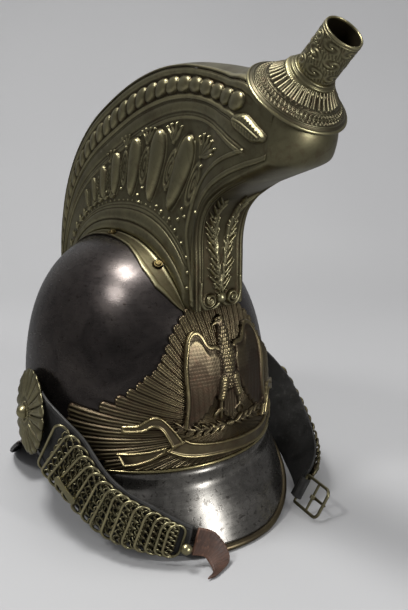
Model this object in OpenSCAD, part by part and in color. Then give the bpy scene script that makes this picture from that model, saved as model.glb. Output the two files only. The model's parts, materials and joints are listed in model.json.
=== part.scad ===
// Cavalry helmet with a high forward-curling crest, eagle front plate and chained chin straps.
// Millimetres. Front is -Y, the wearer's right is -X, +Z is up, Z = 0 is the surface it stands on.

/* [Skull] */
// Outside width of the skull over the ears
skull_w = 194; // [186:1:204]
// Outside length of the skull, brow to nape
skull_l = 210; // [202:1:220]
// Height of the dome above the brow line
skull_h = 165.6; // [158:0.2:174]
// Height of the brow line above the table
brow_z = 55; // [50:1:62]
// How far the skull runs below the brow line
skull_skirt = 6; // [4:0.5:9]
// Thickness of the steel skull
skull_t = 1.6; // [1.2:0.1:2.4]
// Roundness of the crown, higher is flatter on top
crown_power = 3.05; // [2.6:0.05:3.4]
// Roundness of the shoulders, higher is squarer
shoulder_power = 2.4; // [2.1:0.05:2.8]

/* [Visor and neck guard] */
// Thickness of the visor and the neck guard
peak_t = 1.4; // [1:0.1:2]
// Half width of the visor's edge
visor_half_w = 92; // [86:1:98]
// How far the visor reaches in front of the skull
visor_reach = 24; // [16:1:32]
// Half width of the neck guard's edge
guard_half_w = 89; // [84:1:94]
// How far the neck guard reaches behind the skull
guard_reach = 36; // [26:1:46]
// Radius of the brass edging of the visor
edging_r = 2.7; // [2:0.1:3.4]
// Radius of the edging of the neck guard
guard_edging_r = 1.6; // [1.2:0.1:2.4]
// How high the visor's edge has risen where it ends at the side
visor_rise = 34; // [24:1:42]
// How high the neck guard's edge has risen where it ends at the side
guard_rise = 36; // [24:1:42]
// Radius of the rivets of the visor and the neck guard
rivet_r = 1.5; // [1.1:0.1:2]

/* [Front plate] */
// Thickness of the brass front plate
plate_t = 1; // [0.7:0.1:1.5]
// Height of the plate's lower edge above the brow line, at the side
plate_drop = 4; // [3:0.5:7]
// Number of sun rays on each side
ray_count = 11; // [9:1:18]
// Height of the ridge on each ray
ray_ridge = 1.3; // [0.6:0.1:2]
// How far the eagle stands out from the rays
eagle_relief = 5; // [3:0.25:7]
// Radius of the moulding along the lower edge
moulding_r = 1.5; // [1:0.1:2.2]

/* [Crest] */
// Thickness of the crest's brass sheets
crest_t = 1.2; // [0.9:0.1:1.6]
// Half width of the crest's front face at its foot
crest_foot_w = 22; // [19:0.5:25]
// Half width of the crest where it carries the plume cup
crest_nose_w = 28; // [26:0.5:30]
// Half width of the crest's ridge over the crown
crest_ridge_w = 9; // [7:0.5:12]
// Half width of the crest's base at the nape
crest_nape_w = 13; // [11:0.5:16]
// Width of the flange that the crest's foot turns out on the skull
flange_w = 8; // [6:0.5:10]
// Number of slanted beads in the rope band
bead_count = 24; // [18:1:32]
// Number of gadroons on each side
gadroon_count = 7; // [5:1:9]
// Radius of the crest screws
screw_r = 1.6; // [1.2:0.1:2]

/* [Plume cup and socket] */
// Lean of the plume cup from the vertical, degrees
cup_lean = 37; // [32:1:42]
// Outer radius of the cup's rim
cup_r = 34; // [33:0.5:37]
// Height of the cup's dome
cup_h = 17; // [14:0.5:20]
// Thickness of the cup and the socket
cup_t = 1.2; // [0.9:0.1:1.6]
// Lean of the plume socket from the vertical, degrees
socket_lean = 45; // [40:1:48]
// Inner radius of the plume socket
socket_bore_r = 11.4; // [10:0.1:12]
// Length of the plume socket's bore
socket_l = 46; // [40:1:56]

/* [Rosettes and strap pivots] */
// Radius of the rosettes
rosette_r = 33; // [30:0.5:35]
// Turn of the rosettes towards the nape, degrees
rosette_turn = 12; // [6:1:14]
// Upward tilt of the rosettes, degrees
rosette_tilt = 8; // [4:1:10]
// Radius of the rosette's centre boss
boss_r = 5.5; // [4.5:0.25:7]
// Radius of the pivot stud that holds rosette and strap
stud_r = 3; // [2.5:0.1:4]
// Running clearance of the strap's pivot plate on its stud
pivot_gap = 0.06; // [0.03:0.01:0.09]

/* [Chin straps] */
// Thickness of the strap leather
leather_t = 2.6; // [2:0.1:3.2]
// Radius of the chain's brass wire
wire_r = 1.05; // [0.8:0.05:1.2]
// Spacing of the chain rings along the strap
ring_pitch = 7.4; // [7:0.1:8.5]
// Lean of the rings from the leather, degrees
ring_lean = 21; // [19:0.5:26]
// Radius of the rivets that hold the pivot plate on the leather
strap_rivet_r = 1.6; // [1.2:0.1:2]

/* [Buckle] */
// Outer width of the buckle across the strap
buckle_w = 34; // [30:0.5:38]
// Outer length of the buckle along the strap
buckle_l = 27; // [24:0.5:30]
// Thickness of the buckle's bars
buckle_bar = 2.6; // [2.2:0.1:3.2]

/* [Liner] */
// Height of the leather sweatband
band_h = 26; // [20:1:30]
// Gap between the sweatband and the skull
band_gap = 0.3; // [0.2:0.05:0.6]
// Thickness of the liner leather
liner_t = 1.5; // [1.2:0.1:2]
// Number of crown tongues
tongue_count = 8; // [6:1:10]

/* [Hidden] */

brass = [0.52, 0.45, 0.24];
steel = [0.20, 0.18, 0.17];
pale_steel = [0.42, 0.41, 0.40];
black_leather = [0.09, 0.08, 0.08];
brown_leather = [0.36, 0.20, 0.12];
seat_gap = 0.3;
hair_gap = 0.05;
half_w = skull_w / 2;
half_l = skull_l / 2;
skirt_z = brow_z - skull_skirt;
RIGHT = -1;
LEFT = 1;

// Small helpers for points, curves and meshes
function mix(a, b, t) = a * (1 - t) + b * t;
function unit(v) = v / max(norm(v), 1e-9);
function clamp(v, lo, hi) = min(hi, max(lo, v));
function smooth_knot(p0, p1, p2, p3, t) =
    0.5 * (2 * p1 + (p2 - p0) * t + (2 * p0 - 5 * p1 + 4 * p2 - p3) * t * t
        + (3 * p1 - p0 - 3 * p2 + p3) * t * t * t);
// A smooth curve through a list of points, u running from 0 to the last index
function along(list, u) =
    let(n = len(list) - 1, i = min(n - 1, max(0, floor(u))), t = u - i)
    smooth_knot(list[max(0, i - 1)], list[i], list[i + 1], list[min(n, i + 2)], t);
// A straight-line reading of [key, value] pairs
function read(table, x) =
    let(n = len(table) - 1, k = [for (i = [0:n - 1]) if (x >= table[i][0]) i], i = len(k) ? max(k) : 0)
    mix(table[i][1], table[i + 1][1], clamp((x - table[i][0]) / (table[i + 1][0] - table[i][0]), 0, 1));

// A closed sheet between two grids of points with the same rows and columns, in either order
module sheet(one, other) {
    i = floor((len(one) - 1) / 2);
    j = floor((len(one[0]) - 1) / 2);
    facing = cross(one[i][j + 1] - one[i][j], one[i + 1][j] - one[i][j]);
    apart = one[i][j] + one[i][j + 1] + one[i + 1][j] + one[i + 1][j + 1]
        - other[i][j] - other[i][j + 1] - other[i + 1][j] - other[i + 1][j + 1];
    if (facing * apart < 0) closed_sheet(one, other);
    else closed_sheet(other, one);
}
module closed_sheet(front, back) {
    rows = len(front);
    cols = len(front[0]);
    size = rows * cols;
    points = concat([for (row = front) for (p = row) p], [for (row = back) for (p = row) p]);
    function at(i, j) = i * cols + j;
    faces = concat(
        [for (i = [0:rows - 2]) for (j = [0:cols - 2]) each
            [[at(i, j), at(i, j + 1), at(i + 1, j + 1)], [at(i, j), at(i + 1, j + 1), at(i + 1, j)]]],
        [for (i = [0:rows - 2]) for (j = [0:cols - 2]) each
            [[size + at(i, j), size + at(i + 1, j + 1), size + at(i, j + 1)],
             [size + at(i, j), size + at(i + 1, j), size + at(i + 1, j + 1)]]],
        [for (j = [0:cols - 2]) each
            [[at(0, j), size + at(0, j + 1), at(0, j + 1)], [at(0, j), size + at(0, j), size + at(0, j + 1)],
             [at(rows - 1, j), at(rows - 1, j + 1), size + at(rows - 1, j + 1)],
             [at(rows - 1, j), size + at(rows - 1, j + 1), size + at(rows - 1, j)]]],
        [for (i = [0:rows - 2]) each
            [[at(i, 0), at(i + 1, 0), size + at(i + 1, 0)], [at(i, 0), size + at(i + 1, 0), size + at(i, 0)],
             [at(i, cols - 1), size + at(i + 1, cols - 1), at(i + 1, cols - 1)],
             [at(i, cols - 1), size + at(i, cols - 1), size + at(i + 1, cols - 1)]]]);
    polyhedron(points, faces);
}

// A round bar swept along a list of points that rises and falls with the path
module rod(path, r, sides = 10) {
    n = len(path) - 1;
    rings = [for (i = [0:n])
        let(d = unit(path[min(n, i + 1)] - path[max(0, i - 1)]), a = unit(cross(d, [0, 0, 1])), b = cross(a, d))
        [for (k = [0:sides - 1]) path[i] + r * (cos(360 * k / sides) * a + sin(360 * k / sides) * b)]];
    points = [for (ring = rings) for (p = ring) p];
    faces = concat(
        [[for (k = [sides - 1:-1:0]) k]], [[for (k = [0:sides - 1]) n * sides + k]],
        [for (i = [0:n - 1]) for (k = [0:sides - 1]) let(m = (k + 1) % sides) each
            [[i * sides + k, (i + 1) * sides + m, (i + 1) * sides + k],
             [i * sides + k, i * sides + m, (i + 1) * sides + m]]]);
    polyhedron(points, faces);
}

// Turns +Z to a direction at a place
module point_along(place, dir) {
    d = unit(dir);
    translate(place) rotate([0, acos(clamp(d.z, -1, 1)), atan2(d.y, d.x)]) children();
}

// The skull's surface. side is the angle from the front, positive to the wearer's left.
function skull_r(z) = pow(1 - pow(clamp((z - brow_z) / skull_h, 0, 1), crown_power), 1 / shoulder_power);
function skull_z(x, y) =
    let(r = min(1, norm([x / half_w, y / half_l])))
    brow_z + skull_h * pow(1 - pow(r, shoulder_power), 1 / crown_power);
function skull_y(x, z) = half_l * sqrt(max(0, pow(skull_r(z), 2) - pow(x / half_w, 2)));
function skull_normal(side, z) =
    let(u = clamp((z - brow_z) / skull_h, 0, 0.998), r = skull_r(z),
        slope = crown_power / shoulder_power / skull_h * pow(u, crown_power - 1)
            * pow(1 - pow(u, crown_power), 2 / shoulder_power - 1))
    unit([r * sin(side) / half_w, -r * cos(side) / half_l, slope]);
function on_skull(side, z, off = 0) =
    let(r = skull_r(z))
    [half_w * r * sin(side), -half_l * r * cos(side), z] + off * skull_normal(side, z);

// Skull, with a small hole in the crown under the crest
profile_steps = 14;
crown_hole_r = 2;
skull_profile = [for (i = [0:profile_steps])
    let(a = 90 * i / profile_steps, r = max(crown_hole_r, half_w * pow(cos(a), 2 / shoulder_power)))
    [r, brow_z + skull_h * pow(sin(a), 2 / crown_power)]];
function profile_normal(i) =
    let(n = profile_steps, d = unit(skull_profile[min(n, i + 1)] - skull_profile[max(0, i - 1)])) [d.y, -d.x];
function inner_profile(t) = concat(
    [for (i = [0:profile_steps - 1]) skull_profile[i] - t * (i == 0 ? [1, 0] : profile_normal(i))],
    [[crown_hole_r, brow_z + skull_h - t]]);
module skull_shell() {
    outer = inner_profile(0);
    inner = inner_profile(skull_t);
    scale([1, half_l / half_w, 1]) rotate_extrude($fn = 48) polygon(concat(
        [[outer[0].x, skirt_z]], outer, [for (i = [profile_steps:-1:0]) inner[i]], [[inner[0].x, skirt_z]]));
}
module at_studs() {
    for (s = [RIGHT, LEFT]) translate([s * half_w, stud_y, stud_z]) rotate([0, s * 90, 0]) children();
}
module skull() color(steel) {
    difference() {
        skull_shell();
        at_studs() cylinder(r = stud_shank_r + seat_gap / 2, h = 20, center = true, $fn = 20);
        for (site = screw_sites) point_along(site[0], site[1])
            cylinder(r = screw_r + seat_gap / 2, h = 16, center = true, $fn = 14);
        for (site = concat(visor_rivet_sites, guard_rivet_sites)) point_along(site[0], site[1])
            cylinder(r = rivet_r + 0.15, h = 8, center = true, $fn = 14);
    }
}

// Visor and neck guard: a sheet from the skull's skirt down to a rim curve
peak_seat = 0.35;
function plate_bottom(side) = brow_z + plate_drop + 6 * cos(side);
visor_y0 = -32;
visor_spread = 78;
function bump(a, flat, span) = pow(clamp((abs(a) - flat) / (span - flat), 0, 1), 1.5);
function visor_rim(a) = [
    visor_half_w * sin(a),
    visor_y0 - (half_l + visor_reach + visor_y0) * pow(cos(a), 0.96),
    edging_r + visor_rise * bump(a, 14, visor_spread)];
guard_y0 = 38;
guard_spread = 80;
function guard_rim(a) = [
    guard_half_w * sign(sin(a)) * pow(abs(sin(a)), 0.8),
    guard_y0 + (half_l + guard_reach - guard_y0) * pow(cos(a), 0.8),
    guard_edging_r + guard_rise * bump(a, 40, guard_spread)];
function side_of(p) = atan2(p.x / half_w, -p.y / half_l);
function skirt_point(side, z, off) = [(half_w + off) * sin(side), -(half_l + off) * cos(side), z];
peak_rows = [0, 0.3, 0.65, 1];
// One column of the visor or the guard, top to rim, on the outer (t = peak_t) or inner (t = 0) face
function peak_column(rim, top_z, rim_r, t, belly) =
    let(side = side_of(rim), top = skirt_point(side, top_z, peak_seat + t),
        bend = skirt_point(side, skirt_z, peak_seat + t), out = unit([top.x, top.y, 0]),
        fall = unit(rim - bend), face = unit(out * -fall.z * norm([fall.x, fall.y]) + [0, 0, 0.7]),
        edge = rim - fall * (rim_r + seat_gap) + face * (t - peak_t / 2))
    concat([top], [for (k = peak_rows) mix(bend, edge, k) + face * belly * sin(180 * k)]);
module peak(rims, tops, rim_r, belly) {
    n = len(rims) - 1;
    sheet([for (i = [0:n]) peak_column(rims[i], tops[i], rim_r, peak_t, belly)],
          [for (i = [0:n]) peak_column(rims[i], tops[i], rim_r, 0, belly)]);
}
visor_angles = [for (i = [-16:16]) visor_spread * i / 16];
guard_angles = [for (i = [-16:16]) guard_spread * i / 16];
visor_rims = [for (a = visor_angles) visor_rim(a)];
guard_rims = [for (a = guard_angles) guard_rim(a)];
guard_top = brow_z + 3;
module visor() color(pale_steel) {
    peak(visor_rims, [for (p = visor_rims) plate_bottom(side_of(p)) - 2 * moulding_r - 0.8], edging_r, 2);
}
module neck_guard() color(steel) {
    peak(guard_rims, [for (p = guard_rims) guard_top], guard_edging_r, -3);
}
module visor_edging() color(brass) { rod(visor_rims, edging_r, 8); }
module neck_guard_edging() color(brass) { rod(guard_rims, guard_edging_r, 6); }
rivet_z = brow_z - 1.5;
function rivet_site(side) = [skirt_point(side, rivet_z, 0), skull_normal(side, brow_z)];
visor_rivet_sites = [for (side = [-44, -22, 0, 22, 44]) rivet_site(side)];
guard_rivet_sites = [for (side = [140, 160, 180, 200, 220]) rivet_site(side)];
// A rivet whose shank ends on the peak and whose head lies inside the skull
module skull_rivet(site) {
    head_h = 1;
    point_along(site[0], site[1]) translate([0, 0, -skull_t - head_h - seat_gap]) {
        cylinder(r = 1.7 * rivet_r, h = head_h, $fn = 24);
        cylinder(r = rivet_r, h = skull_t + head_h + 1.6 * seat_gap, $fn = 24);
    }
}
module visor_rivets() color(brass) { for (site = visor_rivet_sites) skull_rivet(site); }
module neck_guard_rivets() color(brass) { for (site = guard_rivet_sites) skull_rivet(site); }

// Front plate: sun rays, eagle, branches and a bare ribbon on one brass sheet
plate_seat = 1.3;
burst_z = brow_z + 38;
deg_mm = 1.8;
function on_plate(side, z, off = 0) = on_skull(side, z, plate_seat + off);
// A place on the plate from a distance and a direction at the burst's centre
function burst(r, a, off) = on_plate(r * cos(a) / deg_mm, burst_z + r * sin(a), off);
ray_low = -24;
ray_inner = 5;
// How far the sunburst reaches against the direction above the horizontal
burst_reach = [[-24, 62], [-16, 98], [-6, 128], [6, 130], [10, 112], [20, 92], [35, 78], [50, 72], [65, 80],
    [80, 90], [92, 86]];
ray_turn = (180 - 2 * ray_low) / (2 * ray_count);
// Lanes of the plate: foot, ridge and foot of every ray, then plain sheet below the burst
ray_lanes = [for (k = [0:2 * ray_count - 1]) let(low = ray_low + k * ray_turn, mid = low + ray_turn / 2) each
    [[low + 0.1, mid, 0], [mid, mid, 1], [low + ray_turn - 0.1, mid, 0]]];
foot_lanes = [for (a = [-88:16:-40]) [a, a, 0]];
far_lanes = [for (i = [len(foot_lanes) - 1:-1:0]) let(a = 180 - foot_lanes[i][0]) [a, a, 0]];
plate_lanes = concat(foot_lanes, ray_lanes, far_lanes);
function mirror_angle(a) = a > 90 ? 180 - a : a;
// Distance to the plate's lower edge in a falling direction
function foot_stop(a) = a >= 0 ? 999
    : (burst_z - plate_bottom(clamp(40 * cos(a) / sin(-a) / deg_mm, -66, 66))) / sin(-a);
function lane_reach(lane) =
    min(read(burst_reach, mirror_angle(lane[1])), foot_stop(lane[0] > 90 ? 180 - lane[0] : lane[0]));
module rays() {
    stations = [0, 0.2, 0.4, 0.6, 0.8, 1];
    function rows(off) = [for (lane = plate_lanes) let(rise = off > 0 ? ray_ridge * lane[2] : 0)
        [for (q = stations) burst(mix(ray_inner, lane_reach(lane), q), lane[0], off + rise)]];
    sheet(rows(plate_t), rows(0));
}
// A band on the plate between two lists of [side, height above the brow line]
module plate_band(low, high, lift, thick) {
    n = len(low) - 1;
    function rows(off) = [for (i = [0:n])
        [on_plate(low[i][0], brow_z + low[i][1], off), on_plate(high[i][0], brow_z + high[i][1], off)]];
    sheet(rows(lift + thick), rows(lift));
}
// A raised stroke from a to b, half as wide as wa and wb and as high as ha and hb at its ends.
// Its back stays inside the plate.
stroke_in = 0.25;
function stroke_grid(a, b, wa, wb, ha, hb, top) =
    let(run = [(b.x - a.x) * deg_mm, b.y - a.y], d = unit(run), side = [-d.y / deg_mm, d.x],
        n = ceil(norm(run) / 17) + 1)
    [for (i = [0:n])
        let(q = i / n, end = i == 0 || i == n ? 0.6 : 1, w = end * mix(wa, wb, q), h = end * mix(ha, hb, q))
        [for (e = [-1, 0, 1]) let(c = mix(a, b, q) + e * w * side)
            on_plate(c.x, brow_z + c.y, top ? plate_t + (e == 0 ? h : 0.3 * h) : stroke_in)]];
module stroke(a, b, wa, wb, ha, hb) {
    sheet(stroke_grid(a, b, wa, wb, ha, hb, true), stroke_grid(a, b, wa, wb, ha, hb, false));
}
wing_feathers = 5;
wing_top = [[4.5, 86], [9, 97], [16.5, 106], [24, 94]];
wing_tips = [[8, 64], [12, 60], [18, 50], [25, 45]];
wing_relief = [0.5, 1, 0.6, 0.35];
// The wing is one sheet with a rounded shoulder and a fold between each two feathers
module wing(s) {
    n = 2 * wing_feathers;
    function place(i, k) =
        let(a = along(wing_top, 3 * i / n), b = along(wing_tips, 3 * i / n) + [0, i % 2 == 1 ? -2 : 1],
            c = mix(a, b, [0, 0.14, 0.55, 1][k]))
        [s * c.x, c.y];
    function rise(i, k) = plate_t + eagle_relief * wing_relief[k] - (i % 2 == 1 ? 0 : 0.9);
    function row(i, top) = [for (k = [0:3]) let(c = place(i, k))
        on_plate(c.x, brow_z + c.y, top ? rise(i, k) : stroke_in)];
    sheet([for (i = [0:n]) row(i, true)], [for (i = [0:n]) row(i, false)]);
}
module eagle() {
    stroke([0, 94], [0, 58], 9, 4, eagle_relief, eagle_relief * 0.4);
    hull() stroke([0, 92], [0.6, 111], 6.5, 4.4, eagle_relief, eagle_relief);
    hull() stroke([0.6, 109], [-3.4, 107.5], 3, 1, eagle_relief * 1.1, eagle_relief * 0.7);
    for (s = [RIGHT, LEFT]) {
        wing(s);
        hull() stroke([3 * s, 74], [5.6 * s, 58], 5, 2.6, eagle_relief, eagle_relief * 0.7);
        hull() stroke([5.6 * s, 59], [6.2 * s, 48], 2.4, 2, eagle_relief * 0.6, eagle_relief * 0.5);
        hull() stroke([8.4 * s, 46.5], [3.6 * s, 46.5], 2, 2, eagle_relief * 0.5, eagle_relief * 0.5);
    }
}
// A laurel branch on each side: one sheet with a leaf at every other point of its upper edge
leaf_points = 10;
leaf_in = 0.1;
module branch(s) {
    function row(i, top) =
        let(a = (2 + 2 * i) * s, tip = i % 2 == 1)
        [on_plate(a, brow_z + 37.5, top ? plate_t + 0.8 : leaf_in),
            on_plate(a, brow_z + 40, top ? plate_t + 2 : leaf_in),
            on_plate(a, brow_z + (tip ? 46 : 42), top ? plate_t + (tip ? 1.8 : 0.6) : leaf_in)];
    sheet([for (i = [0:leaf_points]) row(i, true)], [for (i = [0:leaf_points]) row(i, false)]);
}
ribbon_rise = 2.5;
ribbon_low = [[-30, 24], [-20, 17], [-10, 14.5], [0, 13.5], [10, 14.5], [20, 17], [30, 24]];
ribbon_high = [[-30, 31], [-20, 31], [-10, 27], [0, 25], [10, 27], [20, 31], [30, 31]];
fold_low = [[24, 28], [29, 24.5], [33, 38], [38, 39], [46, 36]];
fold_high = [[23, 33], [29, 46], [33, 50], [39, 49], [47, 43]];
// The ribbon's back stands a little behind the plate, so that no pocket is shut in between them
ribbon_in = 0.5;
module ribbon() {
    n = len(fold_low) - 1;
    back = -ribbon_in;
    plate_band(ribbon_low, ribbon_high, back, ribbon_rise - back);
    plate_band(fold_low, fold_high, back, ribbon_rise + 0.5 - back);
    plate_band([for (i = [n:-1:0]) [-fold_low[i][0], fold_low[i][1]]],
        [for (i = [n:-1:0]) [-fold_high[i][0], fold_high[i][1]]], back, ribbon_rise + 0.5 - back);
}
module front_plate() color(brass) {
    union() {
        rays();
        eagle();
        branch(RIGHT);
        branch(LEFT);
        ribbon();
        stroke([-3.5, 36.5], [3.5, 36.5], 5.5, 5.5, 1.2, 1.2);
    }
}
module brow_moulding() color(brass) {
    path = [for (i = [-18:18])
        let(a = 4 * i) on_skull(a, plate_bottom(a) - moulding_r - 0.35, moulding_r + 0.3)];
    rod(path, moulding_r, 6);
}

// Crest. Its side is a fan of ribs from the inner edge (skull, then front face) to the outer edge.
// Places are [y, height above the brow line].
crest_inner_y = [101, 97, 90, 78, 62, 45, 26, 6, -14, -34, -54, -70, -82];
crest_outer = [[109, 70], [113, 97], [113, 128], [108, 158], [97, 190], [79, 219], [54, 244], [24, 263],
    [-8, 278], [-40, 287], [-70, 290], [-97, 288.5], [-118, 285.5], [-129, 283.5], [-139, 283],
    [-148, 281.5], [-155, 278.5],
    [-160.5, 274.5], [-165, 271], [-169, 268], [-172, 265.5]];
crest_front_edge = [[-93.4, 124], [-93.4, 138], [-93.4, 157], [-93.6, 176], [-98, 193], [-108, 206.5],
    [-124, 218], [-146, 228.5], [-168, 237]];
ribs = len(crest_outer) - 1;
arch_ribs = len(crest_inner_y) - 1;
crest_lift = 1.9;
function rib_base_w(k) = k <= arch_ribs ? mix(crest_nape_w, crest_foot_w, pow(k / arch_ribs, 0.6))
    : read([[0, crest_foot_w], [3, crest_foot_w], [8, crest_nose_w]], k - arch_ribs);
function rib_ridge_w(k) =
    read([[0, crest_ridge_w], [9, crest_ridge_w], [15, crest_nose_w - 1], [20, crest_nose_w]], k);
function inner_edge(k) =
    let(w = rib_base_w(k))
    k <= arch_ribs
    ? let(y = along(crest_inner_y, k)) [y, skull_z(w, y) - brow_z + crest_lift]
    : along(crest_front_edge, k - arch_ribs);
// Direction across the crest's outline, pointing out of it
function outline_normal(list, u, turn) =
    let(d = unit(along(list, min(len(list) - 1, u + 0.05)) - along(list, max(0, u - 0.05)))) turn * [-d.y, d.x];
// Where a rib meets the outline. The ribs over the throat stand upright, so that none crosses its hollow.
outline_ribs = [[0, 0], [7, 7], [8, 7.95], [9, 8.75], [10, 9.4], [11, 9.9], [12, 10.25], [13, 10.5],
    [14, 10.8], [15, 11.25], [16, 12.1], [17, 13.5], [18, 15.3], [19, 17.5], [20, 20]];
function outline_of(k) = read(outline_ribs, k);
function rib_of(u) = read([for (p = outline_ribs) [p[1], p[0]]], u);
// Point on the crest's side, k along the ribs and t from the inner to the outer edge
function crest_side_point(k, t, s, off) =
    let(u = outline_of(k), a = inner_edge(k),
        b = along(crest_outer, u) - ridge_rise(u) * outline_normal(crest_outer, u, -1),
        w = mix(rib_base_w(k), rib_ridge_w(u), t), p = mix(a, b, t))
    [s * (w + off), p.x, brow_z + p.y];
// The ridge strip lies on the outer edge, so the sides stop short of the outline
function ridge_rise(k) = read([[0, 0.6], [11, 0.6], [15, 0.3], [20, 0]], k);
// Bands across the side: [place, relief], from the double moulding to the outer roll
crest_bands = [[0, 0], [0.05, 1.4], [0.1, 0], [0.14, 1.4], [0.19, 0], [0.45, 0], [0.72, 0], [0.745, 1.3],
    [0.79, -0.4], [0.84, 1.2], [0.86, -0.4], [0.945, -0.4], [0.965, 1], [1, 0]];
// A raised patch on the side: centre line from [k, t] a to b, half widths in k, height in the middle
patch_in = 1;
function patch_grid(a, b, w, h, s, rows, top) = [for (i = [0:rows])
    let(q = i / rows, c = mix(a, b, q), end = sin(180 * clamp(q, 0.12, 0.88)))
    [for (e = [-1, 0, 1]) let(k = c.x + e * w * mix(0.7, 1, end))
        crest_side_point(k, c.y, s, top ? h * (e == 0 ? end : 0.25 * end) : -patch_in)]];
module patch(a, b, w, h, s, rows = 4) {
    sheet(patch_grid(a, b, w, h, s, rows, true), patch_grid(a, b, w, h, s, rows, false));
}
side_steps = 27;
bead_first = 0.72;
bead_low = 0.872;
bead_high = 0.935;
gadroon_low = 0.245;
gadroon_high = 0.67;
module crest_side(s) {
    steps = [for (i = [0:side_steps]) ribs * i / side_steps];
    function rows(off) = [for (k = steps) [for (b = crest_bands) crest_side_point(k, b[0], s, off + b[1])]];
    sheet(rows(0), rows(-crest_t));
    // Slanted beads of the rope band
    for (i = [0:bead_count - 1]) {
        q = i / (bead_count - 1);
        // The beads grow towards the front
        u = bead_first + 11.9 * q * (0.65 + 0.35 * q);
        w = (rib_of(u + 0.12) - rib_of(u - 0.12)) / 2;
        hull() patch([rib_of(u - 0.1), bead_low], [rib_of(u + 0.1), bead_high], w, mix(2, 3, q), s, 2);
    }
    // Long gadroons that fan out across the panel
    for (i = [0:gadroon_count - 1]) {
        q = i / (gadroon_count - 1);
        k = mix(3, 10.6, q);
        patch([k - 0.1, gadroon_low], [k + 0.1 + 2.5 * pow(q, 6), gadroon_high], mix(0.3, 0.4, q),
            mix(2.4, 4, q), s);
    }
}
module crest_side_right() color(brass) { mirror([1, 0, 0]) crest_side(LEFT); }
module crest_side_left() color(brass) { crest_side(LEFT); }

// Height above the brow line that the crest's top keeps below the cup seat
function under_seat(y) = cup_place.z - brow_z - 1.9 + tan(cup_lean) * (y - cup_place.y - 0.9);
ridge_crown = [[0, 1.6], [10, 1.8], [12, 3], [14, 6], [15, 7]];
module crest_ridge() {
    steps = [for (i = [0:28]) 15 * i / 28];
    arcs = [-1, -0.6, 0, 0.6, 1];
    function row(k, off) =
        let(p = along(crest_outer, k), n = outline_normal(crest_outer, k, -1), w = rib_ridge_w(k),
            c = read(ridge_crown, k))
        [for (a = arcs)
            let(h = seat_gap - ridge_rise(k) + off + c * (1 - a * a), y = p.x + h * n.x)
            [a * (w + 0.4), y, brow_z + min(p.y + h * n.y, under_seat(y) - crest_t + off)]];
    color(brass) sheet([for (k = steps) row(k, 0)], [for (k = steps) row(k, crest_t)]);
}
// The front face sweeps up the throat and swells into the round nose under the cup
face_rows = 21;
nose_r = 29.3;
function chin(a) =
    [crest_nose_w * sin(a), cup_place.y - 2.4 - 13 * cos(a), cup_place.z - brow_z - 36.6 - 3 * cos(a)];
function seat_edge(a) =
    let(x = crest_nose_w * sin(a), s = -sqrt(nose_r * nose_r - x * x))
    [x, cup_place.y + 0.9 + s * cos(cup_lean), cup_place.z - brow_z - 1.8 + s * sin(cup_lean)];
function throat(u, a) =
    let(p = along(crest_front_edge, u), n = outline_normal(crest_front_edge, u, 1),
        w = rib_base_w(arch_ribs + u),
        b = read([[0, 0.5], [3, 1], [4, 1.5], [5, 3], [6, 6], [8, 9]], u),
        h = seat_gap + crest_t + b * cos(a))
    [w * sin(a), p.x + h * n.x, p.y + h * n.y];
function face_grid(u, a) =
    let(v = u - 8, q = u <= 8 ? mix(throat(u, a), chin(a), pow(clamp((u - 6) / 2, 0, 1), 2))
        : mix(chin(a), seat_edge(a), v) - [0, 3 * sin(180 * v) * cos(a), 0])
    [q.x, q.y, brow_z + q.z];
function face_step(i) = i < 17 ? i / 2 : 8 + (i - 16) / (face_rows - 17);
function face_normal(i, a) =
    let(du = face_grid(face_step(min(face_rows - 1, i + 1)), a) - face_grid(face_step(max(0, i - 1)), a),
        da = face_grid(face_step(i), min(90, a + 4)) - face_grid(face_step(i), max(-90, a - 4)))
    unit(cross(da, du));
leaf_rows = 6;
module crest_front() {
    arcs = [-90, -76, -52, -26, 0, 26, 52, 76, 90];
    function row(i, off) = [for (a = arcs) face_grid(face_step(i), a) + off * face_normal(i, a)];
    rows = [0:face_rows - 1];
    color(brass) sheet([for (i = rows) row(i, 0)], [for (i = rows) row(i, -crest_t)]);
    // Ball, volutes and the laurel sprays that rise from them
    function face_place(k, x, off) =
        let(p = along(crest_front_edge, k), n = outline_normal(crest_front_edge, k, 1),
            h = seat_gap + crest_t + off)
        [x, p.x + h * n.x, brow_z + p.y + h * n.y];
    color(brass) translate(face_place(0.25, 0, 1.5)) sphere(r = 4.6, $fn = 10);
    color(brass) for (s = [RIGHT, LEFT]) {
        translate(face_place(0.2, 11 * s, 1.2)) sphere(r = 4.2, $fn = 8);
        for (i = [0:leaf_rows - 1]) {
            k = 0.9 + 0.72 * i;
            // A pointed leaf that leans out from the stem
            hull() polyhedron(
                [face_place(k, 2 * s, 0), face_place(k + 0.25, 8.5 * s, 0.4), face_place(k + 0.75, 10 * s, 1),
                    face_place(k + 0.5, 4 * s, 0), face_place(k + 0.35, 5.5 * s, 2.6),
                    face_place(k + 0.35, 5.5 * s, -0.8)],
                [[0, 1, 4], [1, 2, 4], [2, 3, 4], [3, 0, 4], [1, 0, 5], [2, 1, 5], [3, 2, 5], [0, 3, 5]]);
        }
    }
}
// The turned-out foot of the crest, screwed to the skull
flange_k = [for (i = [0:arch_ribs * 2]) i / 2];
flange_lift = 0.35;
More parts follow.
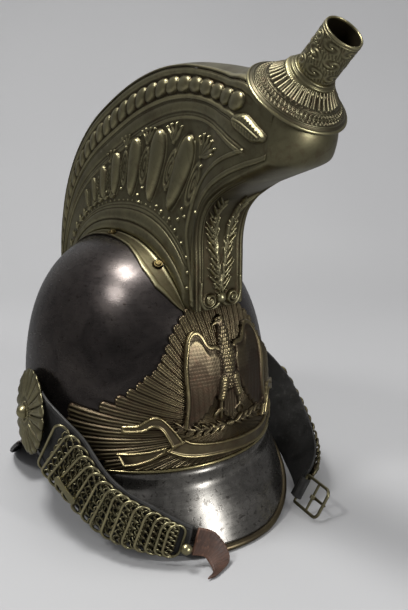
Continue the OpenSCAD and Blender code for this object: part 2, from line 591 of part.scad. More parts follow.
// The flange narrows where it runs in under the front foot
function flange_side(k, s, out) = s * (rib_base_w(k) + out * read([[0, 1], [9.5, 1], [12, 0.15]], k));
function flange_point(k, s, out, off) =
    let(y = along(crest_inner_y, k), x = flange_side(k, s, out), z = skull_z(x, y))
    [x, y, z] + (flange_lift + off) * skull_normal(side_of([x, y]), z);
module crest_flange(s) {
    outs = [-1, flange_w / 2, flange_w];
    t = 1.1;
    function rows(off) = [for (k = flange_k) [for (o = outs) flange_point(k, s, o, off)]];
    difference() {
        sheet(rows(0), rows(t));
        for (site = screw_sites) if (site[2] == s) point_along(site[0], site[1])
            cylinder(r = screw_r + seat_gap / 2, h = 16, center = true, $fn = 24);
    }
}
module crest_flange_right() color(brass) { crest_flange(RIGHT); }
module crest_flange_left() color(brass) { crest_flange(LEFT); }
screw_ribs = [2.5, 7, 10];
screw_sites = [for (s = [RIGHT, LEFT]) for (k = screw_ribs)
    let(y = along(crest_inner_y, k), x = flange_side(k, s, flange_w * 0.5), z = skull_z(x, y))
    [[x, y, z], skull_normal(side_of([x, y]), z), s]];
screw_head_r = 3;
screw_head_h = 2;
screw_tail = 5;
module crest_screws() color(brass) {
    for (site = screw_sites) point_along(site[0], site[1]) {
        translate([0, 0, flange_lift + 1.1 + seat_gap]) {
            cylinder(r = screw_head_r, h = screw_head_h * 0.5, $fn = 24);
            cylinder(r1 = screw_head_r, r2 = screw_head_r * 0.6, h = screw_head_h, $fn = 24);
        }
        translate([0, 0, -skull_t - screw_tail])
            cylinder(r = screw_r, h = screw_tail + skull_t + flange_lift + 2, $fn = 24);
    }
}
nut_w = 6;
module crest_nuts() color(brass) {
    for (site = screw_sites) point_along(site[0], site[1])
            translate([0, 0, -skull_t - seat_gap - 2.4 - 0.4]) difference() {
        translate([-nut_w / 2, -nut_w / 2, 0]) cube([nut_w, nut_w, 2.4]);
        translate([0, 0, -1]) cylinder(r = screw_r + hair_gap, h = 5, $fn = 24);
    }
}

// Plume cup, its seat and the plume socket
cup_place = [0, -166, brow_z + 272.6];
module on_cup() { translate(cup_place) rotate([cup_lean, 0, 0]) children(); }
cup_axis = [0, -sin(cup_lean), cos(cup_lean)];
socket_axis = [0, -sin(socket_lean), cos(socket_lean)];
seat_t = 1.6;
seat_low = -1.2;
module cup_seat() color(brass) {
    on_cup() translate([0, 0, seat_low]) cylinder(r = cup_r - cup_t - 1.2, h = seat_t, $fn = 64);
}
cup_shape = [[0, 1], [0.05, 0.985], [0.12, 0.95], [0.25, 0.86], [0.42, 0.74], [0.62, 0.62], [0.82, 0.52],
    [1, 0.45]];
function cup_profile(t) = [for (p = cup_shape) [max(1, (cup_r - t) * p[1]), (cup_h - t) * p[0]]];
module cup_solid(grow) {
    rotate_extrude($fn = 96)
        polygon(concat([[0, -2]], [[cup_r + grow, -2]], [for (p = cup_profile(-grow)) p], [[0, cup_h + grow]]));
}
cup_rim_z = -0.9;
cup_hole_r = socket_bore_r + cup_t + 2.2;
module plume_cup() color(brass) {
    outer = cup_profile(0);
    inner = cup_profile(cup_t);
    on_cup() translate([0, 0, cup_rim_z]) difference() {
        rotate_extrude($fn = 96) polygon(concat(outer, [[0, cup_h]], [[0, cup_h - cup_t]],
            [for (i = [len(inner) - 1:-1:0]) inner[i]]));
        translate([0, 0, cup_h - 8]) cylinder(r = cup_hole_r, h = 20, $fn = 48);
    }
}
socket_base = cup_place + cup_axis * 9.2;
module on_socket() { translate(socket_base) rotate([socket_lean, 0, 0]) children(); }
socket_out_r = socket_bore_r + cup_t;
socket_floor = 2;
module plume_socket() color(brass) {
    on_socket() translate([0, 0, -6.6]) difference() {
        cylinder(r = socket_out_r, h = socket_l + socket_floor, $fn = 64);
        translate([0, 0, socket_floor]) cylinder(r = socket_bore_r, h = socket_l + 1, $fn = 64);
    }
}
module socket_collar() color(brass) {
    difference() {
        on_socket() rotate_extrude($fn = 96) polygon([
            [socket_out_r + 0.1, 2], [socket_out_r + 5, 2], [socket_out_r + 5, 6.6], [socket_out_r + 3.4, 7.6],
            [socket_out_r + 2.6, 7.8], [socket_out_r + 2.6, 9.6], [socket_out_r + 1.5, 10],
            [socket_out_r + 1.5, 11.6], [socket_out_r + 0.1, 12]]);
        on_cup() translate([0, 0, cup_rim_z]) cup_solid(0.15);
    }
}

// Rosettes, pivots and studs
stud_y = 5.5;
stud_z = brow_z + 36.3;
stud_shank_r = 2.4;
hanger_x = half_w + 2.2;
hanger_t = 1.8;
rosette_x = hanger_x + hanger_t + 2.5;
module at_rosette(s) {
    translate([s * rosette_x, stud_y, stud_z]) rotate([0, 0, s * rosette_turn])
        rotate([0, s * (90 - rosette_tilt), 0]) children();
}
petals = 14;
rosette_rise = 5;
module rosette(s) {
    at_rosette(s) {
        rotate_extrude($fn = 28) polygon([
            [0, rosette_rise - 1.2], [rosette_r * 0.6, rosette_rise - 2.4], [rosette_r, 0],
            [rosette_r, 1.2], [rosette_r * 0.6, rosette_rise - 1], [0, rosette_rise]]);
        translate([0, 0, rosette_rise + 1]) sphere(r = boss_r, $fn = 16);
        // Petals: a domed lobe each, broad at the rim
        for (i = [0:petals - 1]) rotate([0, 0, 360 * (i + 0.5) / petals]) hull() polyhedron(
            [[boss_r + 2, -1, rosette_rise - 1], [boss_r + 2, 1, rosette_rise - 1],
                [rosette_r - 8, 5, rosette_rise - 2.6], [rosette_r - 8, -5, rosette_rise - 2.6],
                [rosette_r - 1.2, 0, 0.9], [rosette_r - 9, 0, rosette_rise + 0.8],
                [rosette_r - 12, 0, rosette_rise - 2.4]],
            [[0, 1, 5], [1, 2, 5], [2, 4, 5], [4, 3, 5], [3, 0, 5],
                [1, 0, 6], [2, 1, 6], [4, 2, 6], [3, 4, 6], [0, 3, 6]]);
    }
}
module rosette_right() color(brass) { rosette(RIGHT); }
module rosette_left() color(brass) { rosette(LEFT); }
// A stud fixed in the skull: a shank inside, a bearing for the pivot plate and a flat head that keeps it on
stud_head_r = 4.6;
module rosette_stud(s) {
    at_pivot(s) {
        translate([0, 0, half_w - hanger_x - skull_t - 5.6])
            cylinder(r = stud_shank_r, h = hanger_x - half_w + skull_t + 5, $fn = 32);
        translate([0, 0, -1.2]) cylinder(r = stud_r, h = hanger_t + 1.8, $fn = 32);
        translate([0, 0, hanger_t + seat_gap]) cylinder(r = stud_head_r, h = 1.2, $fn = 32);
    }
}
module rosette_stud_right() color(brass) { rosette_stud(RIGHT); }
module rosette_stud_left() color(brass) { rosette_stud(LEFT); }
module rosette_nuts() color(brass) {
    at_studs() translate([0, 0, -skull_t - seat_gap - 3.6]) difference() {
        cylinder(r = 5.5, h = 2.6, $fn = 6);
        translate([0, 0, -1]) cylinder(r = stud_shank_r + hair_gap, h = 6, $fn = 32);
    }
}
// Pivot plate: a round eye on the stud with a tail that the leather is riveted to
eye_r = 9;
tail_l = 24;
tail_w = 12;
module at_pivot(s) { translate([s * hanger_x, stud_y, stud_z]) rotate([0, s * 90, 0]) children(); }
strap_fall = 28;
tail_rivets = [0.55 * tail_l, 0.85 * tail_l];
module along_tail(s) { rotate([0, 0, -90 + s * strap_fall]) children(); }
module pivot_plate(s) {
    at_pivot(s) along_tail(s) difference() {
        union() {
            cylinder(r = eye_r, h = hanger_t, $fn = 48);
            translate([0, -tail_w / 2, 0]) cube([tail_l, tail_w, hanger_t]);
        }
        translate([0, 0, -1]) cylinder(r = stud_r + pivot_gap, h = hanger_t + 2, $fn = 32);
        for (x = tail_rivets) translate([x, 0, -1])
            cylinder(r = strap_rivet_r + hair_gap, h = hanger_t + 2, $fn = 24);
    }
}
module pivot_plate_right() color(brass) { pivot_plate(RIGHT); }
module pivot_plate_left() color(brass) { pivot_plate(LEFT); }

// Chin straps: stations of [centre, half width, roll], the roll tips the upper edge outwards.
// A station is placed by how far it stands outside the skull or the visor, by its share of the way
// from the stud to the visor's tip, and by its share of the height from the strap's end to the stud.
strap_reach = half_l + visor_reach + stud_y;
strap_top = stud_z + 0.7;
strap_right_end = 20.4;
strap_left_end = 17.2;
function strap_side(f) =
    mix(half_w, max(half_w, visor_half_w + 5), clamp((f - 0.1) / 0.3, 0, 1));
function station(s, out, f, g, end, half, roll = 0) =
    [[s * (strap_side(f) + out), stud_y - strap_reach * f, mix(end, strap_top, g)], half, roll];
strap_right_run = [
    station(RIGHT, 4.6, 0.0558, 1, strap_right_end, 25),
    station(RIGHT, 5.4, 0.1599, 0.8953, strap_right_end, 26),
    station(RIGHT, 4, 0.2862, 0.757, strap_right_end, 27.5),
    station(RIGHT, 0, 0.3978, 0.588, strap_right_end, 26),
    station(RIGHT, -4, 0.5019, 0.4134, strap_right_end, 24),
    station(RIGHT, -10, 0.6283, 0.2668, strap_right_end, 22),
    station(RIGHT, -18, 0.7361, 0.176, strap_right_end, 20),
    station(RIGHT, -30, 0.8364, 0.0852, strap_right_end, 17),
    station(RIGHT, -39, 0.9033, 0.0293, strap_right_end, 14.5),
    station(RIGHT, -46.5, 0.9554, 0, strap_right_end, 12.5)];
strap_left_run = [
    station(LEFT, 4.6, 0.0558, 1, strap_left_end, 26),
    station(LEFT, 5.8, 0.1599, 0.8864, strap_left_end, 26.5, 1),
    station(LEFT, 9.2, 0.2714, 0.7059, strap_left_end, 25, 12),
    station(LEFT, 13.5, 0.3755, 0.492, strap_left_end, 23, 25),
    station(LEFT, 13.5, 0.4796, 0.3249, strap_left_end, 21, 32),
    station(LEFT, 10, 0.5836, 0.1979, strap_left_end, 19.5, 36),
    station(LEFT, 4, 0.6729, 0.111, strap_left_end, 18, 38),
    station(LEFT, -4, 0.7546, 0.0508, strap_left_end, 16, 36),
    station(LEFT, -13, 0.8216, 0.0107, strap_left_end, 14, 30),
    station(LEFT, -19.4, 0.85576, 0, strap_left_end, 12, 26)];
right_end = strap_right_run[len(strap_right_run) - 1][0];
left_end = strap_left_run[len(strap_left_run) - 1][0];
function run_place(run, u) = along([for (e = run) e[0]], u);
function run_half(run, u) = along([for (e = run) e[1]], u);
function run_roll(run, u) = along([for (e = run) e[2]], u);
function run_dir(run, u) =
    unit(run_place(run, min(len(run) - 1, u + 0.05)) - run_place(run, max(0, u - 0.05)));
// Direction across the strap, towards its upper edge, and the direction that its face looks in
function run_frame(run, u, s) =
    let(d = run_dir(run, u), up = unit([0, 0, 1] - d.z * d), face = cross(up, d),
        out = face.x * s > 0 ? face : -face, r = run_roll(run, u))
    [up * cos(r) + out * sin(r), out * cos(r) - up * sin(r)];
module strap_leather(run, s) {
    n = len(run) - 1;
    steps = [for (i = [0:n * 2]) i / 2];
    function row(u, off) =
        let(c = run_place(run, u), f = run_frame(run, u, s), h = run_half(run, u))
        [for (q = [-1, 0, 1]) c + q * h * f[0] + off * f[1]];
    sheet([for (u = steps) row(u, 0)], [for (u = steps) row(u, leather_t)]);
}
module strap_rivet_shanks(s, r, from, length) {
    at_pivot(s) along_tail(s) for (x = tail_rivets)
        translate([x, 0, from]) cylinder(r = r, h = length, $fn = 24);
}
module strap_leather_right() color(black_leather) {
    difference() {
        strap_leather(strap_right_run, RIGHT);
        strap_rivet_shanks(RIGHT, strap_rivet_r + hair_gap, -4, 20);
        on_strap(strap_right_run, chain_stud_at, RIGHT, -3, -5)
            cylinder(r = fitting_r + hair_gap, h = 14, $fn = 24);
    }
}
module strap_leather_left() color(black_leather) {
    difference() {
        strap_leather(strap_left_run, LEFT);
        strap_rivet_shanks(LEFT, strap_rivet_r + hair_gap, -4, 20);
    }
}

// Chain: long wire links that lie across the strap and lean on each other like roof tiles
link_e = 6.5;
function run_length(run, u, steps = 24) =
    let(p = [for (i = [0:steps]) run_place(run, u * i / steps)])
    total([for (i = [0:steps - 1]) norm(p[i + 1] - p[i])]);
function total(v, i = 0) = i >= len(v) ? 0 : v[i] + total(v, i + 1);
module link(half) {
    for (q = [-1, 1]) {
        translate([0, q * (half - link_e), 0]) rotate([0, 0, q > 0 ? 0 : 180])
            rotate_extrude(angle = 180, $fn = 32) translate([link_e, 0]) circle(r = wire_r, $fn = 16);
        translate([q * link_e, link_e - half, 0]) rotate([-90, 0, 0])
            cylinder(r = wire_r, h = 2 * (half - link_e), $fn = 16);
    }
}
ring_top = leather_t + seat_gap + 2 * wire_r + 2 * link_e * sin(ring_lean);
// Puts children at a place on the strap: X along it, Y across it, Z out of its face
module on_strap(run, u, s, shift, lift) {
    c = run_place(run, u);
    f = run_frame(run, u, s);
    d = cross(f[0], f[1]);
    place = c + shift * f[0] + lift * f[1];
    multmatrix([[d.x, f[0].x, f[1].x, place.x], [d.y, f[0].y, f[1].y, place.y],
        [d.z, f[0].z, f[1].z, place.z], [0, 0, 0, 1]]) children();
}
module chain_rings(run, s, first, last, clear) {
    n = len(run) - 1;
    length = run_length(run, n);
    count = floor((length - first - last) / ring_pitch);
    for (i = [0:count]) {
        u = n * (first + ring_pitch * i) / length;
        on_strap(run, u, s, 0, leather_t + clear + wire_r + link_e * sin(ring_lean))
            rotate([0, s * -ring_lean, 0]) link(run_half(run, u) - 1);
    }
}
module chain_rings_right() color(brass) { chain_rings(strap_right_run, RIGHT, 34, 14, seat_gap); }
module chain_rings_left() color(brass) { chain_rings(strap_left_run, LEFT, 34, 8, 1); }
module strap_rivets(s) { strap_rivet_shanks(s, strap_rivet_r, -0.6, rosette_x + 6 - hanger_x + 0.6); }
module strap_rivets_right() color(brass) { strap_rivets(RIGHT); }
module strap_rivets_left() color(brass) { strap_rivets(LEFT); }
chain_stud_at = 8.75;
link_bar_at = 3.4;
fitting_r = 1.2;
// Fittings of the right strap: end stud, link bar and the brown leather tongue
module chain_stud() color(brass) {
    on_strap(strap_right_run, chain_stud_at, RIGHT, -3, 0) {
        translate([0, 0, -0.6]) cylinder(r = fitting_r, h = 9, $fn = 24);
        translate([0, 0, 7.4]) intersection() {
            sphere(r = 4.4, $fn = 32);
            cylinder(r = 5, h = 5, $fn = 32);
        }
    }
}
module chain_link_bar() color(brass) {
    on_strap(strap_right_run, link_bar_at, RIGHT, -12, 0) {
        translate([-12, -3, ring_top + seat_gap]) cube([24, 6, 2]);
    }
}
tongue_t = 2;
tongue_edges = [
    [right_end + [5.5, -4.4, 9.6], right_end + [-1, -4, -10.4]],
    [right_end + [16.5, -8.5, 3.6], right_end + [6, -8.5, -12.4]],
    [right_end + [23, -14, -8.4], right_end + [7, -14, -14.8]],
    [right_end + [20.5, -19, -16.2], right_end + [4.5, -20, -16.8]],
    [right_end + [4.5, -24, -17.2], right_end + [-3.5, -23, -17.2]]];
module strap_tongue() color(brown_leather) {
    lift = [[0, tongue_t, 0], [0, tongue_t, 0], [0, tongue_t * 0.8, -tongue_t * 0.6],
        [0, tongue_t * 0.3, -tongue_t], [0, 0, -tongue_t]];
    sheet([for (e = tongue_edges) e], [for (i = [0:4]) [for (p = tongue_edges[i]) p + lift[i]]]);
}

// Buckle: X along its bars, Y away from the strap, Z out of its face
buckle_place = left_end + [-6.1, -5.9, -2.6];
buckle_x = unit([0.51, -0.11, 0.85]);
buckle_y = unit([-8.5, -30.4, -1.2] - ([-8.5, -30.4, -1.2] * buckle_x) * buckle_x);
buckle_z = cross(buckle_x, buckle_y);
module on_buckle() {
    multmatrix([[buckle_x.x, buckle_y.x, buckle_z.x, buckle_place.x],
        [buckle_x.y, buckle_y.y, buckle_z.y, buckle_place.y],
        [buckle_x.z, buckle_y.z, buckle_z.z, buckle_place.z], [0, 0, 0, 1]]) children();
}
bar_r = 1.1;
bar_gap = 0.06;
loop_w = buckle_w / 2;
module bar(y, r, l) { translate([-l / 2, y, 0]) rotate([0, 90, 0]) cylinder(r = r, h = l, $fn = 32); }
module buckle_frame() color(brass) {
    on_buckle() {
        for (x = [-1, 1]) translate([x * (buckle_l - buckle_bar) / 2, 0, 0])
            translate([-buckle_bar / 2, -buckle_bar / 2, -buckle_bar / 2]) cube([buckle_bar, buckle_w, buckle_bar]);
        translate([-buckle_l / 2, buckle_w - 1.5 * buckle_bar, -buckle_bar / 2])
            cube([buckle_l, buckle_bar, buckle_bar]);
        for (y = [0, buckle_w / 2]) bar(y, bar_r, buckle_l - buckle_bar);
    }
}
prong_w = 3;
module buckle_prong() color(brass) {
    on_buckle() difference() {
        union() {
            bar(buckle_w / 2, bar_r + 1.2, prong_w);
            translate([-prong_w / 2, buckle_w / 2, bar_r + 0.2]) cube([prong_w, buckle_w / 2 - 1, 1]);
        }
        bar(buckle_w / 2, bar_r + bar_gap, prong_w + 2);
    }
}
// Leather loop that ends the left strap, with a brass bush for the buckle's bar
module buckle_bush() color(brass) {
    on_buckle() difference() {
        bar(0, bar_r + 0.9, loop_w);
        bar(0, bar_r + bar_gap, loop_w + 2);
    }
}
module buckle_loop() color(black_leather) {
    on_buckle() difference() {
        union() {
            bar(0, bar_r + 3, loop_w);
            translate([-loop_w / 2, -7, -1.4]) cube([loop_w, 7, 2.8]);
        }
        bar(0, bar_r + 0.9 + hair_gap, loop_w + 2);
    }
}

// Liner: leather sweatband and crown tongues drawn together by a cord
band_z = brow_z + 3;
band_rows = 3;
function band_place(k, t) = let(z = band_z + band_h * k / band_rows) [half_w * skull_r(z) - t, z];
module sweatband() color(brown_leather) {
    outer = skull_t + band_gap;
    scale([1, half_l / half_w, 1]) rotate_extrude($fn = 48) polygon(concat(
        [for (k = [0:band_rows]) band_place(k, outer)],
        [for (k = [band_rows:-1:0]) band_place(k, outer + liner_t)]));
}
// Tongues rise from the sweatband on an inner dome and are drawn together by the cord
tongue_low = band_z + band_h - 6;
tongue_rise = 96;
tongue_reach = 74;
tongue_in = skull_t + band_gap + liner_t + 1;
tongue_half = [20, 19, 14, 9, 5];
function liner_point(side, q, off) =
    let(a = tongue_reach * q, n = unit([cos(a) * sin(side), -cos(a) * cos(side), sin(a)]))
    [(half_w - tongue_in) * cos(a) * sin(side), -(half_l - tongue_in) * cos(a) * cos(side),
        tongue_low + tongue_rise * sin(a)] - off * n;
tongue_steps = [0, 0.12, 0.4, 0.7, 1];
function tongue_rows(side, off) = [for (k = [0:4]) [for (e = [-1, 0, 1])
    liner_point(side + e * tongue_half[k] * 4.4 / tongue_count, tongue_steps[k], off)]];
module crown_tongues() color(brown_leather) {
    for (i = [0:tongue_count - 1]) {
        side = 360 * (i + 0.5) / tongue_count;
        sheet(tongue_rows(side, 0), tongue_rows(side, liner_t));
    }
}
cord_r = 1.3;
module crown_cord() color(brown_leather) {
    a = tongue_reach * 0.93;
    ring_r = (half_w / 2 + half_l / 2 - tongue_in) * cos(a);
    translate([0, 0, tongue_low + tongue_rise * sin(a) + cord_r + 0.9])
        rotate_extrude($fn = 48) translate([ring_r, 0]) circle(r = cord_r, $fn = 16);
}

skull();
visor();
visor_edging();
visor_rivets();
neck_guard();
neck_guard_edging();
neck_guard_rivets();
front_plate();
brow_moulding();
crest_side_right();
crest_side_left();
crest_front();
crest_ridge();
crest_flange_right();
crest_flange_left();
crest_screws();
crest_nuts();
cup_seat();
plume_cup();
socket_collar();
plume_socket();
rosette_right();
rosette_left();
rosette_stud_right();
rosette_stud_left();
rosette_nuts();
pivot_plate_right();
pivot_plate_left();
strap_leather_right();
strap_leather_left();
chain_rings_right();
chain_rings_left();
strap_rivets_right();
strap_rivets_left();
chain_stud();
chain_link_bar();
strap_tongue();
buckle_loop();
buckle_bush();
buckle_frame();
buckle_prong();
sweatband();
crown_tongues();
crown_cord();
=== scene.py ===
# %% [markdown]
# This lesson dresses the solids of an old cavalry helmet for its portrait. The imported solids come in
# first and stay where they are. Each later cell either gives one of them a better surface or lays a
# finer piece over it, and says why it is made that way. Lengths are written in millimetres, as in the
# workshop, and turned into metres only when a mesh is made.

# %% Load the solids
import json
import math

import bpy
import numpy as np
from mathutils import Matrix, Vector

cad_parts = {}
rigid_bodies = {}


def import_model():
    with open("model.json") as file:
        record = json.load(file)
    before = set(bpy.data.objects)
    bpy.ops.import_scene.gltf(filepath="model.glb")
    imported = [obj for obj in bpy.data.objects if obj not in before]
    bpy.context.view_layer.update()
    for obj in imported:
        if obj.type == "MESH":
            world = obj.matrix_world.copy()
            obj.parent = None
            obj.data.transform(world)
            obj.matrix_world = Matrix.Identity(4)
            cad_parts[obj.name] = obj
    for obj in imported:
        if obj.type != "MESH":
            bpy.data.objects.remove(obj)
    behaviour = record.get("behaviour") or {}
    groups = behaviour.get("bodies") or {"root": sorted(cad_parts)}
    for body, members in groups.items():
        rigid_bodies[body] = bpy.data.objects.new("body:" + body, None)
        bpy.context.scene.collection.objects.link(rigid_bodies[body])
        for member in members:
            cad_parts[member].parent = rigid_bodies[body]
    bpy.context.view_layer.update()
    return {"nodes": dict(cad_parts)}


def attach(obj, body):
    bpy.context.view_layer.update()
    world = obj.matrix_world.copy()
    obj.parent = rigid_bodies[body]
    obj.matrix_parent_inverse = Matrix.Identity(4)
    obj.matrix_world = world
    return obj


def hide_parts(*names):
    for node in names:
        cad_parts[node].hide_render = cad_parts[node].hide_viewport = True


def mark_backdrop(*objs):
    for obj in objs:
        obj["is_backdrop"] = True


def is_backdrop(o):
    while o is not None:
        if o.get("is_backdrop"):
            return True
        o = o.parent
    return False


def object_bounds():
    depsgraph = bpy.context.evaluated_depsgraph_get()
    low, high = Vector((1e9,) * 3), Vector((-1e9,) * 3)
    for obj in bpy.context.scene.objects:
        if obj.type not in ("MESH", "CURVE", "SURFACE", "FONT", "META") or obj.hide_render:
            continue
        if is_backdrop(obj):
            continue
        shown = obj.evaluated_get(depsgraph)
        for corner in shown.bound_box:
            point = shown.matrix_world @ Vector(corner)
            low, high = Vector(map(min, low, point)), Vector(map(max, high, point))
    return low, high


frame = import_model()

# %% [markdown]
# The camera comes next, because every choice after it is judged through it. The portrait was taken
# from the helmet's front right and a little above, with a fairly long lens. A lens on a 36 mm sensor
# whose long side is the picture's height gives the same perspective.

# %% Place the camera
from mathutils import Vector

camera_data = bpy.data.cameras.new("portrait_camera")
sensor_mm, picture_height, lens_in_pixels = 36.0, 610, 804.37
camera_data.sensor_width = sensor_mm
camera_data.lens = lens_in_pixels / picture_height * sensor_mm
camera_data.clip_start, camera_data.clip_end = 0.05, 60
camera = bpy.data.objects.new("portrait_camera", camera_data)
bpy.context.scene.collection.objects.link(camera)
camera.location = Vector((-0.3636, -0.5156, 0.3480))
aim = Vector((0.06416, 0.0, 0.14524))
camera.rotation_mode = "QUATERNION"
camera.rotation_quaternion = (aim - camera.location).to_track_quat("-Z", "Y")
bpy.context.scene.camera = camera
bpy.context.scene.view_settings.view_transform = "Standard"
print("camera is", round((aim - camera.location).length, 3), "m from what it aims at")

# %% [markdown]
# Materials are small networks of nodes. A short helper that adds a node, sets its sockets and links
# its inputs keeps each recipe readable: a value in brackets is set, and a socket is linked.

# %% A helper that wires nodes
def start_material(name):
    material = bpy.data.materials.new(name)
    material.use_nodes = True
    material.node_tree.nodes.clear()
    return material, material.node_tree

def set_or_link(tree, socket, value):
    if isinstance(value, bpy.types.NodeSocket):
        tree.links.new(value, socket)
    else:
        socket.default_value = value

def add_node(tree, kind, settings=None, **inputs):
    node = tree.nodes.new(kind)
    for key, value in (settings or {}).items():
        setattr(node, key, value)
    for key, value in inputs.items():
        numbered = key[0] == "i" and key[1:].isdigit()
        set_or_link(tree, node.inputs[int(key[1:]) if numbered else key.replace("_", " ")], value)
    return node

def ramp(tree, factor, stops):
    node = tree.nodes.new("ShaderNodeValToRGB")
    tree.links.new(factor, node.inputs["Fac"])
    elements = node.color_ramp.elements
    while len(elements) < len(stops):
        elements.new(0.5)
    for element, (place, colour) in zip(elements, stops):
        element.position = place
        element.color = (*colour, 1) if len(colour) == 3 else (colour[0],) * 3 + (1,)
    return node.outputs["Color"]

def noise(tree, scale, detail=4, roughness=0.55, vector=None, distortion=0.0):
    where = vector or add_node(tree, "ShaderNodeTexCoord").outputs["Object"]
    return add_node(tree, "ShaderNodeTexNoise", Vector=where, Scale=scale, Detail=detail,
        Roughness=roughness, Distortion=distortion).outputs["Fac"]

def map_range(tree, value, low, high, to_low=0.0, to_high=1.0):
    return add_node(tree, "ShaderNodeMapRange", Value=value, From_Min=low, From_Max=high, To_Min=to_low,
        To_Max=to_high).outputs[0]

def blend_colours(tree, factor, a, b):
    node = add_node(tree, "ShaderNodeMix", {"data_type": "RGBA"})
    for number, value in ((0, factor), (6, a), (7, b)):
        plain_colour = isinstance(value, tuple)
        set_or_link(tree, node.inputs[number], (*value, 1) if plain_colour else value)
    return node.outputs[2]

def arithmetic(tree, kind, a, b, c=0.0, clamp=False):
    settings = {"operation": kind, "use_clamp": clamp}
    return add_node(tree, "ShaderNodeMath", settings, i0=a, i1=b, i2=c).outputs[0]

def finish_material(tree, colour, roughness, bump_height=None, bump_depth=0.0, strength=0.0, **fixed):
    shader = add_node(tree, "ShaderNodeBsdfPrincipled")
    for key, value in fixed.items():
        shader.inputs[key.replace("_", " ")].default_value = value
    tree.links.new(colour, shader.inputs["Base Color"])
    set_or_link(tree, shader.inputs["Roughness"], roughness)
    if bump_height is not None:
        bump = add_node(tree, "ShaderNodeBump", Strength=strength, Distance=bump_depth,
            Height=bump_height)
        tree.links.new(bump.outputs["Normal"], shader.inputs["Normal"])
    output = add_node(tree, "ShaderNodeOutputMaterial")
    tree.links.new(shader.outputs["BSDF"], output.inputs["Surface"])

print("node helpers are ready")

# %% [markdown]
# Old brass is never one colour. Handling keeps the high places yellow, while the hollows fill with
# dark red-brown dirt and the rest goes olive. Every pressed piece below carries an attribute for
# wear, which runs from 0 in a hollow to 1 on a ridge, so one recipe can colour them all. On a few
# pieces the same attribute also carries painted light and painted shade.

# %% Aged brass
def between(a, b, share):
    return tuple((1 - share) * p + share * q for p, q in zip(a, b))

def brass_material(name, hollow, body, high, rough, with_relief=True):
    material, tree = start_material(name)
    where = add_node(tree, "ShaderNodeTexCoord").outputs["Object"]
    cloud = noise(tree, 38.0, 5, 0.6, where, 0.4)
    grain = noise(tree, 900.0, 3, 0.6, where)
    stain = noise(tree, 130.0, 4, 0.65, where, 1.2)
    if with_relief:
        relief = add_node(tree, "ShaderNodeAttribute", {"attribute_name": "rubbed"}).outputs["Fac"]
    else:
        pointed = add_node(tree, "ShaderNodeNewGeometry").outputs["Pointiness"]
        relief = map_range(tree, pointed, 0.42, 0.60)
    wander = arithmetic(tree, "MULTIPLY_ADD", cloud, 0.55, -0.26)
    level = arithmetic(tree, "ADD", relief, wander, clamp=True)
    colour = ramp(tree, level, [(0.0, hollow), (0.34, between(hollow, body, 0.45)), (0.54, body),
        (0.76, between(body, high, 0.4)), (1.0, high)])
    red = ramp(tree, stain, [(0.50, (0.0,)), (0.72, (1.0,))])
    colour = blend_colours(tree, arithmetic(tree, "MULTIPLY", red, 0.35), colour, (0.10, 0.045, 0.03))
    dull = arithmetic(tree, "SUBTRACT", 1.0, level)
    roughness = map_range(tree, arithmetic(tree, "MULTIPLY", dull, 0.7), 0.0, 1.0, *rough)
    heights = arithmetic(tree, "ADD", grain, arithmetic(tree, "MULTIPLY", stain, 0.6))
    finish_material(tree, colour, roughness, heights, 0.00012, 0.35, Metallic=1.0)
    return material

aged_brass = brass_material("aged_brass", (0.060, 0.048, 0.028), (0.270, 0.248, 0.145),
    (0.56, 0.50, 0.28), (0.30, 0.50))
# The front plate's copy of the recipe is darker, as painted shade
plate_brass = brass_material("plate_brass", (0.058, 0.042, 0.028), (0.122, 0.098, 0.062),
    (0.36, 0.30, 0.155), (0.30, 0.50))
cup_brass = brass_material("cup_brass", (0.085, 0.070, 0.045), (0.215, 0.198, 0.120),
    (0.54, 0.49, 0.27), (0.30, 0.48))
# The bead's copy is brighter, partly as rubbed brass and partly as painted light
bright_brass = brass_material("bright_brass", (0.05, 0.04, 0.02), (0.30, 0.26, 0.13),
    (0.72, 0.62, 0.33), (0.22, 0.38), with_relief=False)
print("brass recipes:", aged_brass.name, plate_brass.name, cup_brass.name, bright_brass.name)

# %% [markdown]
# The skull is burnished steel that has gone almost black-brown. Its colour drifts in soft clouds, and
# fine rubbing only shows in how sharp the reflections are. The visor was handled more, so it is
# greyer, with a few sparse dark pits. Both share one recipe whose numbers differ.

# %% Dark steel and pitted steel
def steel_material(name, dark, middle, pale, pit_colour, rough, pit_share, bump=0.00003):
    material, tree = start_material(name)
    where = add_node(tree, "ShaderNodeTexCoord").outputs["Object"]
    drift = noise(tree, 9.0, 3, 0.5, where, 0.8)
    cloud = noise(tree, 42.0, 7, 0.62, where, 0.9)
    level = arithmetic(tree, "ADD", arithmetic(tree, "MULTIPLY", drift, 0.45),
        arithmetic(tree, "MULTIPLY", cloud, 0.55))
    colour = ramp(tree, level, [(0.36, dark), (0.50, middle), (0.64, pale)])
    speck = noise(tree, 330.0, 2, 0.5, where, 1.0)
    pits = ramp(tree, speck, [(pit_share, (1.0,)), (pit_share + 0.05, (0.0,))])
    colour = blend_colours(tree, arithmetic(tree, "MULTIPLY", pits, 0.6), colour, pit_colour)
    rub_map = add_node(tree, "ShaderNodeMapping", Vector=where, Scale=(30.0, 30.0, 700.0))
    rubbing = noise(tree, 1.0, 3, 0.6, rub_map.outputs[0])
    grain = noise(tree, 160.0, 5, 0.7, where)
    mixed = arithmetic(tree, "ADD", arithmetic(tree, "MULTIPLY", grain, 0.6),
        arithmetic(tree, "MULTIPLY", rubbing, 0.4))
    roughness = map_range(tree, mixed, 0.35, 0.65, *rough)
    heights = arithmetic(tree, "SUBTRACT", arithmetic(tree, "MULTIPLY", grain, 0.35), pits)
    finish_material(tree, colour, roughness, heights, bump, 0.25, Metallic=0.94)
    return material

